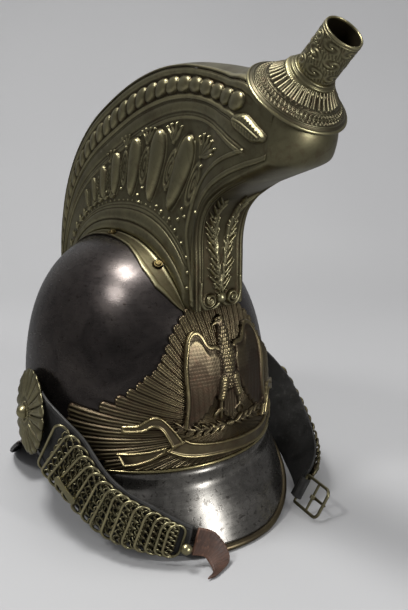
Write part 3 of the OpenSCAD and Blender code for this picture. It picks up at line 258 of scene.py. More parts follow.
dark_steel = steel_material("dark_steel", (0.042, 0.037, 0.035), (0.072, 0.062, 0.058),
    (0.112, 0.097, 0.088), (0.020, 0.013, 0.010), (0.24, 0.33), 0.30)
visor_steel = steel_material("visor_steel", (0.100, 0.096, 0.088), (0.165, 0.157, 0.143),
    (0.260, 0.246, 0.226), (0.030, 0.025, 0.022), (0.22, 0.33), 0.34, 0.00005)
print("steel recipes:", dark_steel.name, visor_steel.name)

# %% [markdown]
# Strap leather is black and cracked along the bends, and the little tongue is brown with a worn,
# paler edge. Voronoi cells make the pores of the grain, and noise makes the larger wrinkles.

# %% Leathers
def leather_material(name, dark, mid, worn, rough=(0.42, 0.68)):
    material, tree = start_material(name)
    where = add_node(tree, "ShaderNodeTexCoord").outputs["Object"]
    cloud = noise(tree, 70.0, 5, 0.6, where, 0.6)
    wear = noise(tree, 260.0, 5, 0.7, where)
    pores = add_node(tree, "ShaderNodeTexVoronoi", Vector=where, Scale=1500.0).outputs["Distance"]
    pointed = add_node(tree, "ShaderNodeNewGeometry").outputs["Pointiness"]
    edge = map_range(tree, pointed, 0.50, 0.60)
    colour = ramp(tree, cloud, [(0.30, dark), (0.66, mid)])
    scuffs = arithmetic(tree, "MULTIPLY", ramp(tree, wear, [(0.55, (0.0,)), (0.75, (1.0,))]), 0.55)
    paler = arithmetic(tree, "MAXIMUM", scuffs, arithmetic(tree, "MULTIPLY", edge, 0.6))
    colour = blend_colours(tree, paler, colour, worn)
    roughness = map_range(tree, cloud, 0.3, 0.7, *rough)
    heights = arithmetic(tree, "ADD", pores, arithmetic(tree, "MULTIPLY", wear, 1.5))
    finish_material(tree, colour, roughness, heights, 0.00018, 0.5, Metallic=0.0)
    return material

black_leather = leather_material("black_leather", (0.010, 0.010, 0.009), (0.026, 0.025, 0.023),
    (0.085, 0.080, 0.073))
brown_leather = leather_material("brown_leather", (0.034, 0.017, 0.011), (0.088, 0.042, 0.026),
    (0.21, 0.10, 0.06))
liner_leather = leather_material("liner_leather", (0.075, 0.040, 0.022), (0.17, 0.10, 0.060),
    (0.28, 0.19, 0.12), (0.5, 0.75))
print("leather recipes:", black_leather.name, brown_leather.name, liner_leather.name)

# %% [markdown]
# The room is plain: a pale table that curves up into a pale wall, two small lamps high on the
# helmet's right that put two bright spots on the skull, a tall low lamp that streaks the visor, and a
# soft fill. Metal shows what it reflects. In the portrait it reflects a darker room than the pale
# one behind it, so mirrored rays see a darker table and a darker sky.

# %% Table, wall and lamps
def stage_material():
    material, tree = start_material("pale_table")
    where = add_node(tree, "ShaderNodeTexCoord").outputs["Object"]
    tone = noise(tree, 1.6, 2, 0.5, where)
    pale = ramp(tree, tone, [(0.3, (0.465, 0.465, 0.467)), (0.7, (0.500, 0.500, 0.500))])
    mirrored = add_node(tree, "ShaderNodeLightPath").outputs["Is Glossy Ray"]
    above_table = add_node(tree, "ShaderNodeSeparateXYZ", Vector=where).outputs["Z"]
    # Higher up, the wall is coloured darker, as painted shade
    high = map_range(tree, above_table, 0.0, 1.2)
    pale = blend_colours(tree, high, pale, (0.33, 0.33, 0.332))
    dim = blend_colours(tree, high, (0.20, 0.20, 0.20), (0.44, 0.44, 0.44))
    finish_material(tree, blend_colours(tree, mirrored, pale, dim), 0.85)
    return material

def backdrop_mesh():
    across = np.linspace(-4.0, 4.0, 9)
    curve_start, curve_radius, wall_top, bend_steps = 0.6, 0.7, 4.0, 12
    profile = [(-3.0, 0.0), (curve_start, 0.0)]
    for i in range(1, bend_steps + 1):
        a = math.pi / 2 * i / bend_steps
        profile.append((curve_start + curve_radius * math.sin(a),
            curve_radius - curve_radius * math.cos(a)))
    profile.append((curve_start + curve_radius, wall_top))
    # The room is turned so that its wall faces the camera
    turn = math.radians(39.68)
    points, faces = [], []
    for y, z in profile:
        for x in across:
            points.append((x * math.cos(turn) + y * math.sin(turn),
                -x * math.sin(turn) + y * math.cos(turn), z))
    n = len(across)
    for i in range(len(profile) - 1):
        for j in range(n - 1):
            faces.append((i * n + j, i * n + j + 1, (i + 1) * n + j + 1, (i + 1) * n + j))
    mesh = bpy.data.meshes.new("table")
    mesh.from_pydata(points, [], faces)
    for polygon in mesh.polygons:
        polygon.use_smooth = True
    table = bpy.data.objects.new("table", mesh)
    bpy.context.scene.collection.objects.link(table)
    mesh.materials.append(stage_material())
    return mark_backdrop(table)

def area_lamp(name, place, target, size, power):
    data = bpy.data.lights.new(name, "AREA")
    data.shape = "RECTANGLE"
    data.size, data.size_y = size
    data.energy = power
    lamp = bpy.data.objects.new(name, data)
    bpy.context.scene.collection.objects.link(lamp)
    lamp.location = Vector(place)
    lamp.rotation_mode = "QUATERNION"
    lamp.rotation_quaternion = (Vector(target) - Vector(place)).to_track_quat("-Z", "Y")

backdrop_mesh()
area_lamp("lamp_high", (-0.47, 0.20, 1.72), (-0.04, -0.04, 0.18), (0.38, 0.30), 16.0)
area_lamp("lamp_side", (-1.06, -0.04, 1.42), (-0.05, -0.05, 0.16), (0.22, 0.22), 7.0)
area_lamp("lamp_front", (0.24, -1.90, 0.50), (-0.02, -0.11, 0.05), (0.12, 0.75), 15.0)
area_lamp("lamp_top", (-0.1, 0.2, 1.9), (0, 0, 0.1), (1.2, 1.2), 6.0)

# %% [markdown]
# The sky is what the metal mirrors above the table. It is drawn by the world's own nodes, paler
# overhead and darker near the horizon, and dimmed for mirrored rays so that the steel stays dark.

# %% The room's light
world = bpy.data.worlds.new("room")
bpy.context.scene.world = world
world.use_nodes = True
world.node_tree.nodes.clear()
room = world.node_tree
gradient = add_node(room, "ShaderNodeTexCoord").outputs["Generated"]
up = add_node(room, "ShaderNodeSeparateXYZ", Vector=gradient).outputs["Z"]
sky = ramp(room, map_range(room, up, -0.2, 0.9),
    [(0.0, (0.42, 0.42, 0.43)), (0.45, (0.34, 0.34, 0.35)), (1.0, (0.53, 0.53, 0.55))])
mirrored = add_node(room, "ShaderNodeLightPath").outputs["Is Glossy Ray"]
sky = blend_colours(room, arithmetic(room, "MULTIPLY", mirrored, 0.55), sky, (0.02, 0.02, 0.02))
background = add_node(room, "ShaderNodeBackground", Color=sky, Strength=0.85)
add_node(room, "ShaderNodeOutputWorld", Surface=background.outputs["Background"])
print("the room's light has", len(room.nodes), "nodes")

# %% [markdown]
# Most pieces of this helmet are thin sheets pressed over a form. Such a sheet is a grid of points:
# its rows and columns follow the form, and each point is pushed out by the height of the ornament.
# These helpers turn a grid into a mesh with a real edge, find its outward direction and work out
# which points are ridges and which are hollows.

# %% Helpers for pressed sheets
def unit_rows(v):
    return v / np.linalg.norm(v, axis=-1, keepdims=True)

def grid_of(down, across):
    return np.meshgrid(down, across, indexing="ij")

def smooth_step(x, low, high):
    t = np.clip((x - low) / (high - low), 0, 1)
    return t * t * (3 - 2 * t)

def round_top(share):
    return np.sqrt(np.clip(1 - share ** 2, 0, 1))

def outward(grid, hint):
    normal = np.cross(np.gradient(grid, axis=1), np.gradient(grid, axis=0))
    length = np.linalg.norm(normal, axis=2, keepdims=True)
    normal = normal / np.maximum(length, 1e-9)
    return normal if (normal * (grid - np.asarray(hint, float))).sum() > 0 else -normal

def blurred(field, reach, passes=3):
    padded = field.copy()
    for _ in range(passes):
        for axis in (0, 1):
            total = np.cumsum(np.concatenate([np.repeat(np.take(padded, [0], axis), reach + 1, axis),
                padded, np.repeat(np.take(padded, [-1], axis), reach, axis)], axis), axis)
            n = padded.shape[axis]
            high = np.take(total, np.arange(2 * reach + 1, 2 * reach + 1 + n), axis)
            low = np.take(total, np.arange(0, n), axis)
            padded = (high - low) / (2 * reach + 1)
    return padded

def rubbed_from(height, reach, spread):
    return np.clip(0.5 + (height - blurred(height, reach)) / spread, 0, 1)

print("sheet helpers are ready")

# %% Helpers that make a piece from points and faces
def make_mesh(name, points_mm, faces, material, body, replaced=(), rubbed=None):
    mesh = bpy.data.meshes.new(name)
    mesh.from_pydata((np.asarray(points_mm, float) / 1000).tolist(), [], faces)
    mesh.validate()
    mesh.polygons.foreach_set("use_smooth", [True] * len(mesh.polygons))
    if rubbed is not None:
        attribute = mesh.attributes.new("rubbed", "FLOAT", "POINT")
        attribute.data.foreach_set("value", np.asarray(rubbed, np.float32))
    mesh.materials.append(material)
    mesh.update()
    piece = bpy.data.objects.new(name, mesh)
    bpy.context.scene.collection.objects.link(piece)
    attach(piece, body)
    if replaced:
        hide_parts(*replaced)
    return piece

def grid_faces(rows, cols, start=0, closed_rows=False, closed_cols=False, flip=False):
    i = np.arange(rows if closed_rows else rows - 1)
    j = np.arange(cols if closed_cols else cols - 1)
    a, b = np.meshgrid(i, j, indexing="ij")
    c, d = (a + 1) % rows, (b + 1) % cols
    quads = (np.stack([a * cols + b, a * cols + d, c * cols + d, c * cols + b], -1).reshape(-1, 4)
        + start)
    return (quads[:, ::-1] if flip else quads).tolist()

def faces_outward(front, normal):
    i, j = front.shape[0] // 2, front.shape[1] // 2
    here = front[i, j]
    return (np.cross(front[i, (j + 1) % front.shape[1]] - here, front[i + 1, j] - here)
        @ normal[i, j] > 0)

def pressed_sheet(name, base, normal, height, thick, material, body, replaced=(),
        closed_cols=False, rubbed=None):
    rows, cols = height.shape
    front = base + normal * height[..., None]
    back = base - normal * thick
    facing = faces_outward(front, normal)
    faces = grid_faces(rows, cols, 0, False, closed_cols, not facing)
    faces += grid_faces(rows, cols, rows * cols, False, closed_cols, facing)
    size = rows * cols
    span = range(cols if closed_cols else cols - 1)
    for r, turn in ((0, facing), (rows - 1, not facing)):
        for j in span:
            k = (j + 1) % cols
            quad = [r * cols + j, r * cols + k, size + r * cols + k, size + r * cols + j]
            faces.append(quad[::-1] if turn else quad)
    if not closed_cols:
        for c, turn in ((0, not facing), (cols - 1, facing)):
            for i in range(rows - 1):
                quad = [i * cols + c, (i + 1) * cols + c, size + (i + 1) * cols + c,
                    size + i * cols + c]
                faces.append(quad[::-1] if turn else quad)
    worn = rubbed_from(height, 6, 1.0) if rubbed is None else rubbed
    points = np.concatenate([front.reshape(-1, 3), back.reshape(-1, 3)])
    return make_mesh(name, points, faces, material, body, replaced,
        np.concatenate([worn.ravel(), np.full(size, 0.25)]))

print("piece helpers are ready")

# %% [markdown]
# Round rods, such as the rolled edges and the wire of the chain, are tubes that follow a line. The
# helper keeps the tube's twist steady by carrying one direction along the line.

# %% A helper for rods and wire
def capped_faces(rows, cols):
    ends = [list(range(cols))[::-1], list(range((rows - 1) * cols, rows * cols))]
    return grid_faces(rows, cols, 0, False, True) + ends

def rod_points(path, radius, sides=12, closed=False):
    path = np.asarray(path, float)
    n = len(path)
    ahead = np.roll(path, -1, 0) - np.roll(path, 1, 0)
    if not closed:
        ahead[0], ahead[-1] = path[1] - path[0], path[-1] - path[-2]
    ahead = unit_rows(ahead)
    side = np.cross(ahead[0], [0.13, 0.31, 0.94])
    side /= np.linalg.norm(side)
    sides_list = []
    for i in range(n):
        side = side - ahead[i] * (side @ ahead[i])
        side /= np.linalg.norm(side)
        sides_list.append(side)
    a = np.array(sides_list)
    b = np.cross(ahead, a)
    turn = 2 * math.pi * np.arange(sides) / sides
    radius = np.broadcast_to(np.asarray(radius, float), (n,))
    around = np.cos(turn)[None, :, None] * a[:, None] + np.sin(turn)[None, :, None] * b[:, None]
    ring = path[:, None] + radius[:, None, None] * around
    faces = grid_faces(n, sides, 0, True, True) if closed else capped_faces(n, sides)
    return ring.reshape(-1, 3), faces

def along(points, u):
    points = np.asarray(points, float)
    n = len(points) - 1
    u = np.clip(np.asarray(u, float), 0, n)
    i = np.minimum(n - 1, np.floor(u).astype(int))
    t = u - i
    p0, p1, p2, p3 = (points[np.clip(i + d, 0, n)] for d in (-1, 0, 1, 2))
    t = t[..., None] if points.ndim > 1 else t
    square = (2 * p0 - 5 * p1 + 4 * p2 - p3) * t * t
    return 0.5 * (2 * p1 + (p2 - p0) * t + square + (3 * p1 - p0 - 3 * p2 + p3) * t ** 3)

def smooth_path(points, count):
    return along(points, np.linspace(0, len(points) - 1, count))

def run_along(points):
    return np.concatenate([[0], np.cumsum(np.linalg.norm(np.diff(points, axis=0), axis=1))])

print("rod helper is ready")

# %% [markdown]
# The skull is a raised bowl. Its plan is an ellipse and its profile is squarer than a circle, with
# high shoulders, which a pair of powers describes well. Rebuilding it as a fine grid gives the smooth
# highlights that the coarse solid can't, and a very shallow waviness keeps it from looking turned.

# %% The skull
skull_half_width, skull_half_length = 97.0, 105.0
brow_height, dome_height = 55.0, 165.6
crown_power, shoulder_power = 3.05, 2.4

def skull_radius(z):
    u = np.clip((z - brow_height) / dome_height, 0, 1)
    return (1 - u ** crown_power) ** (1 / shoulder_power)

def skull_top(x, y):
    r = np.minimum(1, np.hypot(x / skull_half_width, y / skull_half_length))
    return brow_height + dome_height * (1 - r ** shoulder_power) ** (1 / crown_power)

def skull_outward(side, z):
    u = np.clip((z - brow_height) / dome_height, 0, 0.998)
    r = skull_radius(z)
    fullness = (1 - u ** crown_power) ** (2 / shoulder_power - 1)
    slope = crown_power / shoulder_power / dome_height * u ** (crown_power - 1) * fullness
    return unit_rows(np.stack([r * np.sin(side) / skull_half_width,
        -r * np.cos(side) / skull_half_length, slope + 0 * side], -1))

def on_skull(side_degrees, z, off=0.0):
    side, z = np.broadcast_arrays(np.radians(side_degrees), z)
    r = skull_radius(z)
    place = np.stack([skull_half_width * r * np.sin(side), -skull_half_length * r * np.cos(side), z],
        -1)
    return place + np.asarray(off, float)[..., None] * skull_outward(side, z)

skirt_low = 49.2
turns = np.linspace(0, 2 * np.pi, 193)[:-1]
rise = np.concatenate([[-1.0], np.linspace(0, 1, 72) ** 0.9])
rows = []
for q in rise:
    if q < 0:
        radius, height = 1.0, skirt_low
    else:
        a = q * math.pi / 2
        radius = max(0.012, math.cos(a) ** (2 / shoulder_power))
        height = brow_height + dome_height * math.sin(a) ** (2 / crown_power)
    rows.append(np.stack([skull_half_width * radius * np.sin(turns),
        -skull_half_length * radius * np.cos(turns), np.full_like(turns, height)], -1))
skull_grid = np.array(rows)
skull_normals = outward(np.concatenate([skull_grid, skull_grid[:, :1]], 1), (0, 0, 60))[:, :-1]
level_out = unit_rows(skull_grid[1] * [1 / skull_half_width ** 2, 1 / skull_half_length ** 2, 0])
skull_normals[0] = skull_normals[1] = level_out
waves = 0.10 * np.sin(3 * turns + 0.6)[None] * np.sin(5 * np.maximum(rise, 0) + 1)[:, None] - 0.12
skull_piece = pressed_sheet("skull_bowl", skull_grid, skull_normals, waves, 1.5, dark_steel, "helmet",
    ("skull",), True)
print("skull bowl:", len(skull_piece.data.vertices), "points")

# %% [markdown]
# The visor and the neck guard are sheets too. Their upper edge follows the skull's skirt and their
# lower edge follows a rim that rises towards the ears. Between them the sheet bellies a little. The
# edge is wrapped in a rolled brass edging, which is a rod along the same rim.

# %% Visor and neck guard
edging_radius, guard_edging_radius = 2.7, 1.6
skirt_height = 49.0

def bump_up(a, flat, span):
    return np.clip((np.abs(a) - flat) / (span - flat), 0, 1) ** 1.5

def visor_rim(a):
    half_width, inner, reach, low, lift = 92, 32, 24, 2.7, 34
    r = np.radians(a)
    ahead = inner + (skull_half_length + reach - inner) * np.cos(r) ** 0.96
    return np.stack([half_width * np.sin(r), -ahead, low + lift * bump_up(a, 14, 78)], -1)

def guard_rim(a):
    half_width, inner, reach, low, lift = 89, 38, 36, 1.6, 36
    r = np.radians(a)
    x = half_width * np.sign(np.sin(r)) * np.abs(np.sin(r)) ** 0.8
    behind = inner + (skull_half_length + reach - inner) * np.cos(r) ** 0.8
    return np.stack([x, behind, low + lift * bump_up(a, 40, 80)], -1)

def plate_foot(side_degrees):
    return brow_height + 4 + 6 * np.cos(np.radians(side_degrees))

def peak_sheet(name, rim, top_of, rim_radius, belly, material, replaced):
    side = np.arctan2(rim[:, 0] / skull_half_width, -rim[:, 1] / skull_half_length)
    seat = 0.35 + 1.4

    def skirt(z):
        return np.stack([(skull_half_width + seat) * np.sin(side),
            -(skull_half_length + seat) * np.cos(side), np.broadcast_to(z, side.shape)], -1)

    top, bend = skirt(top_of(np.degrees(side))), skirt(skirt_height)
    fall = unit_rows(rim - bend)
    out = unit_rows(top * [1, 1, 0])
    face = unit_rows(out * (-fall[:, 2:] * np.linalg.norm(fall[:, :2], axis=1, keepdims=True))
        + [0, 0, 0.7])
    edge = rim - fall * (rim_radius - 0.8) + face * 0.7
    grid = [top, top * 0.5 + bend * 0.5]
    for k in np.linspace(0, 1, 26):
        grid.append(bend * (1 - k) + edge * k + face * belly * math.sin(math.pi * k))
    grid = np.array(grid)
    # The bend at the skirt is eased, as in a hammered sheet
    for _ in range(2):
        grid[1:-1] = 0.25 * grid[:-2] + 0.5 * grid[1:-1] + 0.25 * grid[2:]
    normal = outward(grid, (0, 0, 90))
    height = 0.06 * np.sin(grid[..., 0] / 9) * np.sin(grid[..., 1] / 7)
    return pressed_sheet(name, grid, normal, height, 1.3, material, "helmet", replaced)

visor_edge = visor_rim(np.linspace(-78, 78, 121))
guard_edge = guard_rim(np.linspace(-80, 80, 121))
visor_piece = peak_sheet("visor_sheet", visor_edge, lambda s: plate_foot(s) - 3.8, edging_radius, 2.0,
    visor_steel, ("visor",))
guard_piece = peak_sheet("neck_guard_sheet", guard_edge, lambda s: 58.0 + 0 * s, guard_edging_radius,
    -3.0, dark_steel, ("neck_guard",))

def edging_rod(replaced, rim, radius, material):
    points, faces = rod_points(rim, radius * 0.985, 18)
    make_mesh(f"{replaced}_rod", points, faces, material, "helmet", (replaced,),
        np.full(len(points), 0.62))

edging_rod("visor_edging", visor_edge, edging_radius, plate_brass)
edging_rod("neck_guard_edging", guard_edge, guard_edging_radius, dark_steel)
print("peaks:", len(visor_piece.data.vertices) + len(guard_piece.data.vertices), "points")

# %% [markdown]
# The moulding under the front plate is a half-round brass bead that catches the light in one long
# line, so it is a smooth rod. Its brighter colour is partly rubbed brass and partly painted light.

# %% Brow moulding
moulding_side = np.linspace(-72, 72, 161)
moulding_path = on_skull(moulding_side, plate_foot(moulding_side) - 1.85, np.full(161, 1.8))
points, faces = rod_points(moulding_path, 1.45, 14)
make_mesh("brow_bead", points, faces, bright_brass, "helmet", ("brow_moulding",))
print("brow bead:", len(points), "points")

# %% [markdown]
# The front plate is one sheet of brass, stamped with a sunburst, an eagle, two branches and a ribbon.
# A flat drawing is easiest to think about: distances across the plate are measured along the brow,
# heights are measured above the brow line, and the result is wrapped on the skull at the end. The
# rays are laid out in circles about the sun's centre, because then their ridges follow the grid.

# %% Drawing tools for stamped relief
plate_gap, plate_thick, degree_mm = 1.3, 1.0, 1.8
burst_height = brow_height + 38

def on_plate(x_mm, up_mm, off):
    return on_skull(x_mm / degree_mm, brow_height + up_mm, plate_gap + off)

def capsule(x, y, a, b, ra, rb):
    dx, dy = b[0] - a[0], b[1] - a[1]
    q = np.clip(((x - a[0]) * dx + (y - a[1]) * dy) / max(1e-9, dx * dx + dy * dy), 0, 1)
    return np.hypot(x - a[0] - q * dx, y - a[1] - q * dy) / (ra + (rb - ra) * q), q

def limb(x, y, a, b, ra, rb, ha, hb):
    d, q = capsule(x, y, a, b, ra, rb)
    return np.where(d < 1, (ha + (hb - ha) * q) * round_top(d), -1.0)

def line_distance(x, y, line):
    line = np.asarray(line, float)
    best = np.full(x.shape, 1e9)
    place = np.zeros(x.shape)
    for i in range(len(line) - 1):
        d, q = capsule(x, y, line[i], line[i + 1], 1, 1)
        near = d < best
        best, place = np.where(near, d, best), np.where(near, i + q, place)
    return best, place

def inside_outline(x, y, outline):
    inside = np.zeros(x.shape, bool)
    n = len(outline)
    for i in range(n):
        (ax, ay), (bx, by) = outline[i], outline[(i + 1) % n]
        if ay != by:
            inside ^= ((ay > y) != (by > y)) & (x < (bx - ax) * (y - ay) / (by - ay) + ax)
    return inside

def rounded(depth, width, height):
    return height * round_top(1 - np.clip(depth / width, 0, 1))

def scales(x, y, size):
    row = np.floor(y / size)
    u = x / size + 0.5 * (row % 2)
    u = u - np.floor(u) - 0.5
    v = y / size - row
    return np.clip(1 - (np.hypot(u * 1.7, (v - 1.0) * 0.95)) ** 2, 0, 1)

print("drawing tools are ready")

# %% [markdown]
# The sunburst is a wheel of stepped rays round the eagle's breast. Drawn as circles about that
# centre, each step is one wedge of the wheel. It ends at the length that a measured table gives for
# its angle, or at the plate's foot where that is nearer.

# %% The sunburst
burst_table = np.array([[-40, 120], [-16.9, 103], [-12.2, 110], [-6.5, 124], [-0.8, 132], [4.9, 130],
    [7, 111], [10, 103.5], [12.9, 98], [15.4, 92], [23.3, 83], [30.6, 79], [37, 75], [43.7, 76],
    [48.2, 77.6], [54, 81], [58, 84], [66, 87], [73, 90], [80, 90], [92, 87]])
ray_pitch, ray_start = 5.1818, -24.0

def burst_reach(angle):
    angle = np.where(angle > 90, 180 - angle, angle)
    return np.interp(angle, burst_table[:, 0], burst_table[:, 1])

ray_angles = np.linspace(-90, 270, 1801)[:-1]
step = np.floor((ray_angles - ray_start) / ray_pitch)
part_of_step = (ray_angles - ray_start) / ray_pitch - step
step_middle = ray_start + (step + 0.5) * ray_pitch
tip_round = 1 - np.sqrt(np.clip(1 - (2 * part_of_step - 1) ** 2 * 0.92, 0, 1))
reach = burst_reach(step_middle) - 3.2 * tip_round
cosine, sine = np.cos(np.radians(ray_angles)), np.sin(np.radians(ray_angles))
foot = np.full(ray_angles.shape, 60.0)
for _ in range(30):
    side = np.clip(foot * cosine / degree_mm, -69, 69)
    foot = (0.5 * foot + 0.5 * np.where(sine < -0.05,
        (burst_height - plate_foot(side)) / np.maximum(-sine, 0.05), 400))
reach = np.minimum(reach, np.minimum(foot, 400))
stations = np.concatenate([[0.01, 0.04, 0.09], np.linspace(0.14, 0.95, 36), [0.97, 0.985, 1.0]])
ray_r = stations[:, None] * reach[None]
ray_x, ray_up = ray_r * cosine, burst_height - brow_height + ray_r * sine
strength = np.clip(ray_r / 40, 0.1, 1)
rods_per_step = 3
ridge = (0.34 * np.cos(2 * np.pi * rods_per_step * (part_of_step - 0.5))[None]
    + 0.75 * round_top(2 * part_of_step - 1)[None] - 0.3)
edge_lip = (0.25 * smooth_step(stations, 0.965, 0.985)[:, None]
    - 0.75 * smooth_step(stations, 0.985, 1.0)[:, None])
stipple = 0.05 * np.sin(ray_x * 2.9 + 3 * np.sin(ray_up * 0.7)) * np.sin(ray_up * 3.1)
ray_height = plate_thick + strength * ridge + edge_lip + stipple
ray_base = on_plate(ray_x, ray_up, 0 * ray_x)
ray_normal = skull_outward(np.radians(ray_x / degree_mm), brow_height + ray_up)
worn = (np.clip(0.44 + 0.40 * (ray_height - plate_thick) / 0.9, 0, 1)
    * np.where(stations[:, None] > 0.985, 0.5, 1))
plate_piece = pressed_sheet("plate_sunburst", ray_base, ray_normal, ray_height, plate_thick,
    plate_brass, "helmet", ("front_plate",), True, rubbed=worn)
print("sunburst:", len(plate_piece.data.vertices), "points,", int(360 / ray_pitch), "steps")

# %% [markdown]
# The eagle, the branches and the ribbon are one height map on a square grid. Each part of the bird
# adds a rounded mass, and the highest mass wins at each point, as clay would be laid on clay. Only
# the faces that rise above the rays are kept, so the rays run on beside the bird.

# %% A field for the stamped figures
drawing_x, drawing_up = np.meshgrid(np.arange(-92, 92.1, 0.46), np.arange(6, 121, 0.46))
relief = np.full(drawing_x.shape, -1.0)

def add_relief(height):
    global relief
    relief = np.maximum(relief, height)

print("figure field:", drawing_x.shape[0], "by", drawing_x.shape[1], "points")

# %% The eagle
wing_field = np.zeros(drawing_x.shape)

def wing_relief(side):
    global wing_field
    stretch = 1.0 if side < 0 else 1.16
    lowered = 0 if side < 0 else 2.0
    x, y = drawing_x * side / stretch, drawing_up + lowered * smooth_step(np.abs(drawing_x), 12, 40)
    outer = smooth_path([(8.5, 94), (11.3, 95.5), (15.3, 95.6), (18.6, 98.2), (21.4, 103.4),
        (25, 106.6), (29.4, 106.4), (33.5, 102.4), (36.3, 94), (37.4, 84), (37.2, 74), (36.6, 62),
        (37.4, 52), (39.6, 42)], 66)
    tips = [(38.4, 38.5), (35.5, 41), (33.8, 39.5), (31, 42.5), (29.2, 41), (26.4, 44.5), (24.6, 43.5),
        (22, 48), (20.2, 47.5), (17.6, 53), (15.8, 53), (13.4, 59.5), (11.6, 60.5), (9.6, 67.5),
        (7, 74), (6, 84)]
    outline = [tuple(p) for p in outer] + tips
    edge, _ = line_distance(x, y, outline + outline[:1])
    inside = inside_outline(x, y, outline)
    top = np.interp(x, outer[:, 0], outer[:, 1])
    depth = np.clip((top - y) / 56, 0, 1)
    body = np.interp(depth, [0, 0.12, 0.5, 1], [2.6, 3.9, 2.7, 1.7])
    fan = (x - 7 - 0.05 * (y - 60)) / 4.3
    feather = np.abs(fan - np.floor(fan) - 0.5) * 2
    barbs = np.sin((y * 1.1 + np.abs(fan - np.floor(fan) - 0.5) * 6) * 2.2)
    low = smooth_step(70 - y, -4, 6)
    texture = low * (0.20 * round_top(feather) - 0.10 + 0.03 * barbs)
    texture += (1 - low) * (0.09 * scales(x + 0.2 * y, y, 2.6) - 0.03)
    height = rounded(edge, 2.0, 1.0) * body + texture * smooth_step(edge, 0.6, 1.8)
    rim, _ = line_distance(x, y, outer - [0.9, 0.6])
    height = np.maximum(height, np.where(rim < 1.75, body + 1.15 * round_top(rim / 1.75), -1))
    wing_field = wing_field + inside * smooth_step(rim, 1.2, 2.2)
    add_relief(np.where(inside | (rim < 1.5), height, -1.0))

def leg_relief(side):
    x = drawing_x * side
    thigh = limb(x, drawing_up, (5.0, 71), (8.2, 59), 6.2, 4.0, 5.4, 4.8)
    thigh += np.where(thigh > 0, 0.45 * scales(x * 1.2, drawing_up, 2.1) - 0.2, 0)
    add_relief(thigh)
    add_relief(limb(x, drawing_up, (8.2, 60), (9.0, 51), 2.0, 1.7, 3.4, 3.0))
    for toe in ((3.6, 46.2), (8.6, 44.4), (14.2, 46.0)):
        add_relief(limb(x, drawing_up, (9.0, 50.5), toe, 1.7, 1.1, 3.2, 2.2))
        add_relief(limb(x, drawing_up, toe, (toe[0] + 0.5, toe[1] - 2.6), 1.0, 0.4, 2.0, 1.2))

for side in (-1, 1):
    wing_relief(side)
tail, _ = capsule(drawing_x, drawing_up, (0, 64), (0, 49), 5.2, 7.6)
tail_lines = 0.35 * np.cos(drawing_x * 2.3)
add_relief(np.where(tail < 1, 2.3 * np.sqrt(np.clip(1 - tail ** 4, 0, 1)) + tail_lines, -1))
for a, b, ra, rb, ha, hb in (((0, 89), (0, 68), 9.6, 6.6, 5.4, 4.8),
        ((0, 93), (0.9, 107), 7.4, 5.4, 5.0, 3.9)):
    mass = limb(drawing_x, drawing_up, a, b, ra, rb, ha, hb)
    add_relief(np.where(mass > 0, mass + 0.62 * scales(drawing_x, drawing_up, 2.5) - 0.25, -1))
for side in (-1, 1):
    leg_relief(side)
# The head, the beak and its hook, and the brow
for part in (((0.6, 111.3), (-1.6, 111.0), 4.6, 3.8, 4.0, 3.6),
        ((-3.4, 110.8), (-8.0, 109.4), 2.4, 1.4, 3.2, 2.4),
        ((-8.0, 109.6), (-9.0, 106.4), 1.4, 0.5, 2.4, 1.5),
        ((-4.4, 113.0), (1.4, 113.9), 1.0, 0.9, 4.2, 4.0)):
    add_relief(limb(drawing_x, drawing_up, *part))
eye = np.hypot(drawing_x + 2.2, drawing_up - 111.4)
relief = np.where(eye < 1.9, relief - 0.7 * (1 - eye / 1.9) + np.where(eye < 0.8, 0.9, 0), relief)
print("eagle: highest point", round(float(relief.max()), 2), "mm above the rays")

# %% [markdown]
# A ribbon with folded ends lies under the bird, and two leafy branches cross above it. A ribbon is
# the field between two measured lines, with a raised lip along its edge. A branch is a thin stem with
# leaves in pairs. The ribbon's field is kept in mind, because it is coloured brighter than the rest.

# %% The ribbon
ribbon_field = np.zeros(drawing_x.shape, bool)

def band_relief(low, high, height):
    global ribbon_field
    lip, field = 0.8, -0.35
    low, high = smooth_path(low, 60), smooth_path(high, 60)
    outline = [tuple(p) for p in low] + [tuple(p) for p in high[::-1]]
    edge, _ = line_distance(drawing_x, drawing_up, outline + outline[:1])
    inside = inside_outline(drawing_x, drawing_up, outline)
    ribbon_field = ribbon_field | inside
    rim = lip * round_top((edge - 0.9) / 0.9)
    wave = 0.10 * np.sin(drawing_x * 0.35 + drawing_up * 0.2)
    add_relief(np.where(inside, height + field * smooth_step(edge, 1.4, 2.4) + rim + wave, -1.0))

def mm(points, side=1):
    return [(side * a * degree_mm, z) for a, z in points]

band_relief(mm([(-29.7, 23.6), (-24, 19), (-18, 16.2), (-8, 14.6), (2, 13.2), (12, 11.6), (22, 10.8),
    (30, 14), (37, 20)]), mm([(-21.5, 31.5), (-18, 28.5), (-10, 25.6), (-2, 24), (6, 22.6), (14, 21.8),
    (22, 21.6), (30, 25), (38, 31.5)]), 1.3)
for side in (-1, 1):
    band_relief(mm([(47.5, 38), (42, 38.5), (38, 39.5), (34.5, 42.5), (31.5, 40.5), (29, 33),
        (27.6, 26.5), (30.5, 24.2)], side),
        mm([(46.8, 43.5), (41, 44.5), (38, 47.5), (34.5, 50.5), (30.6, 49.2), (26.8, 42), (23.6, 34),
        (22, 29)], side), 2.1)
    band_relief(mm([(30, 22), (35, 16.5), (41, 12.5), (47, 10.5)], side),
        mm([(29, 27), (35, 24.5), (42, 22.5), (50, 21.5)], side), 0.9)
print("ribbon:", int(ribbon_field.sum()), "points of the field")

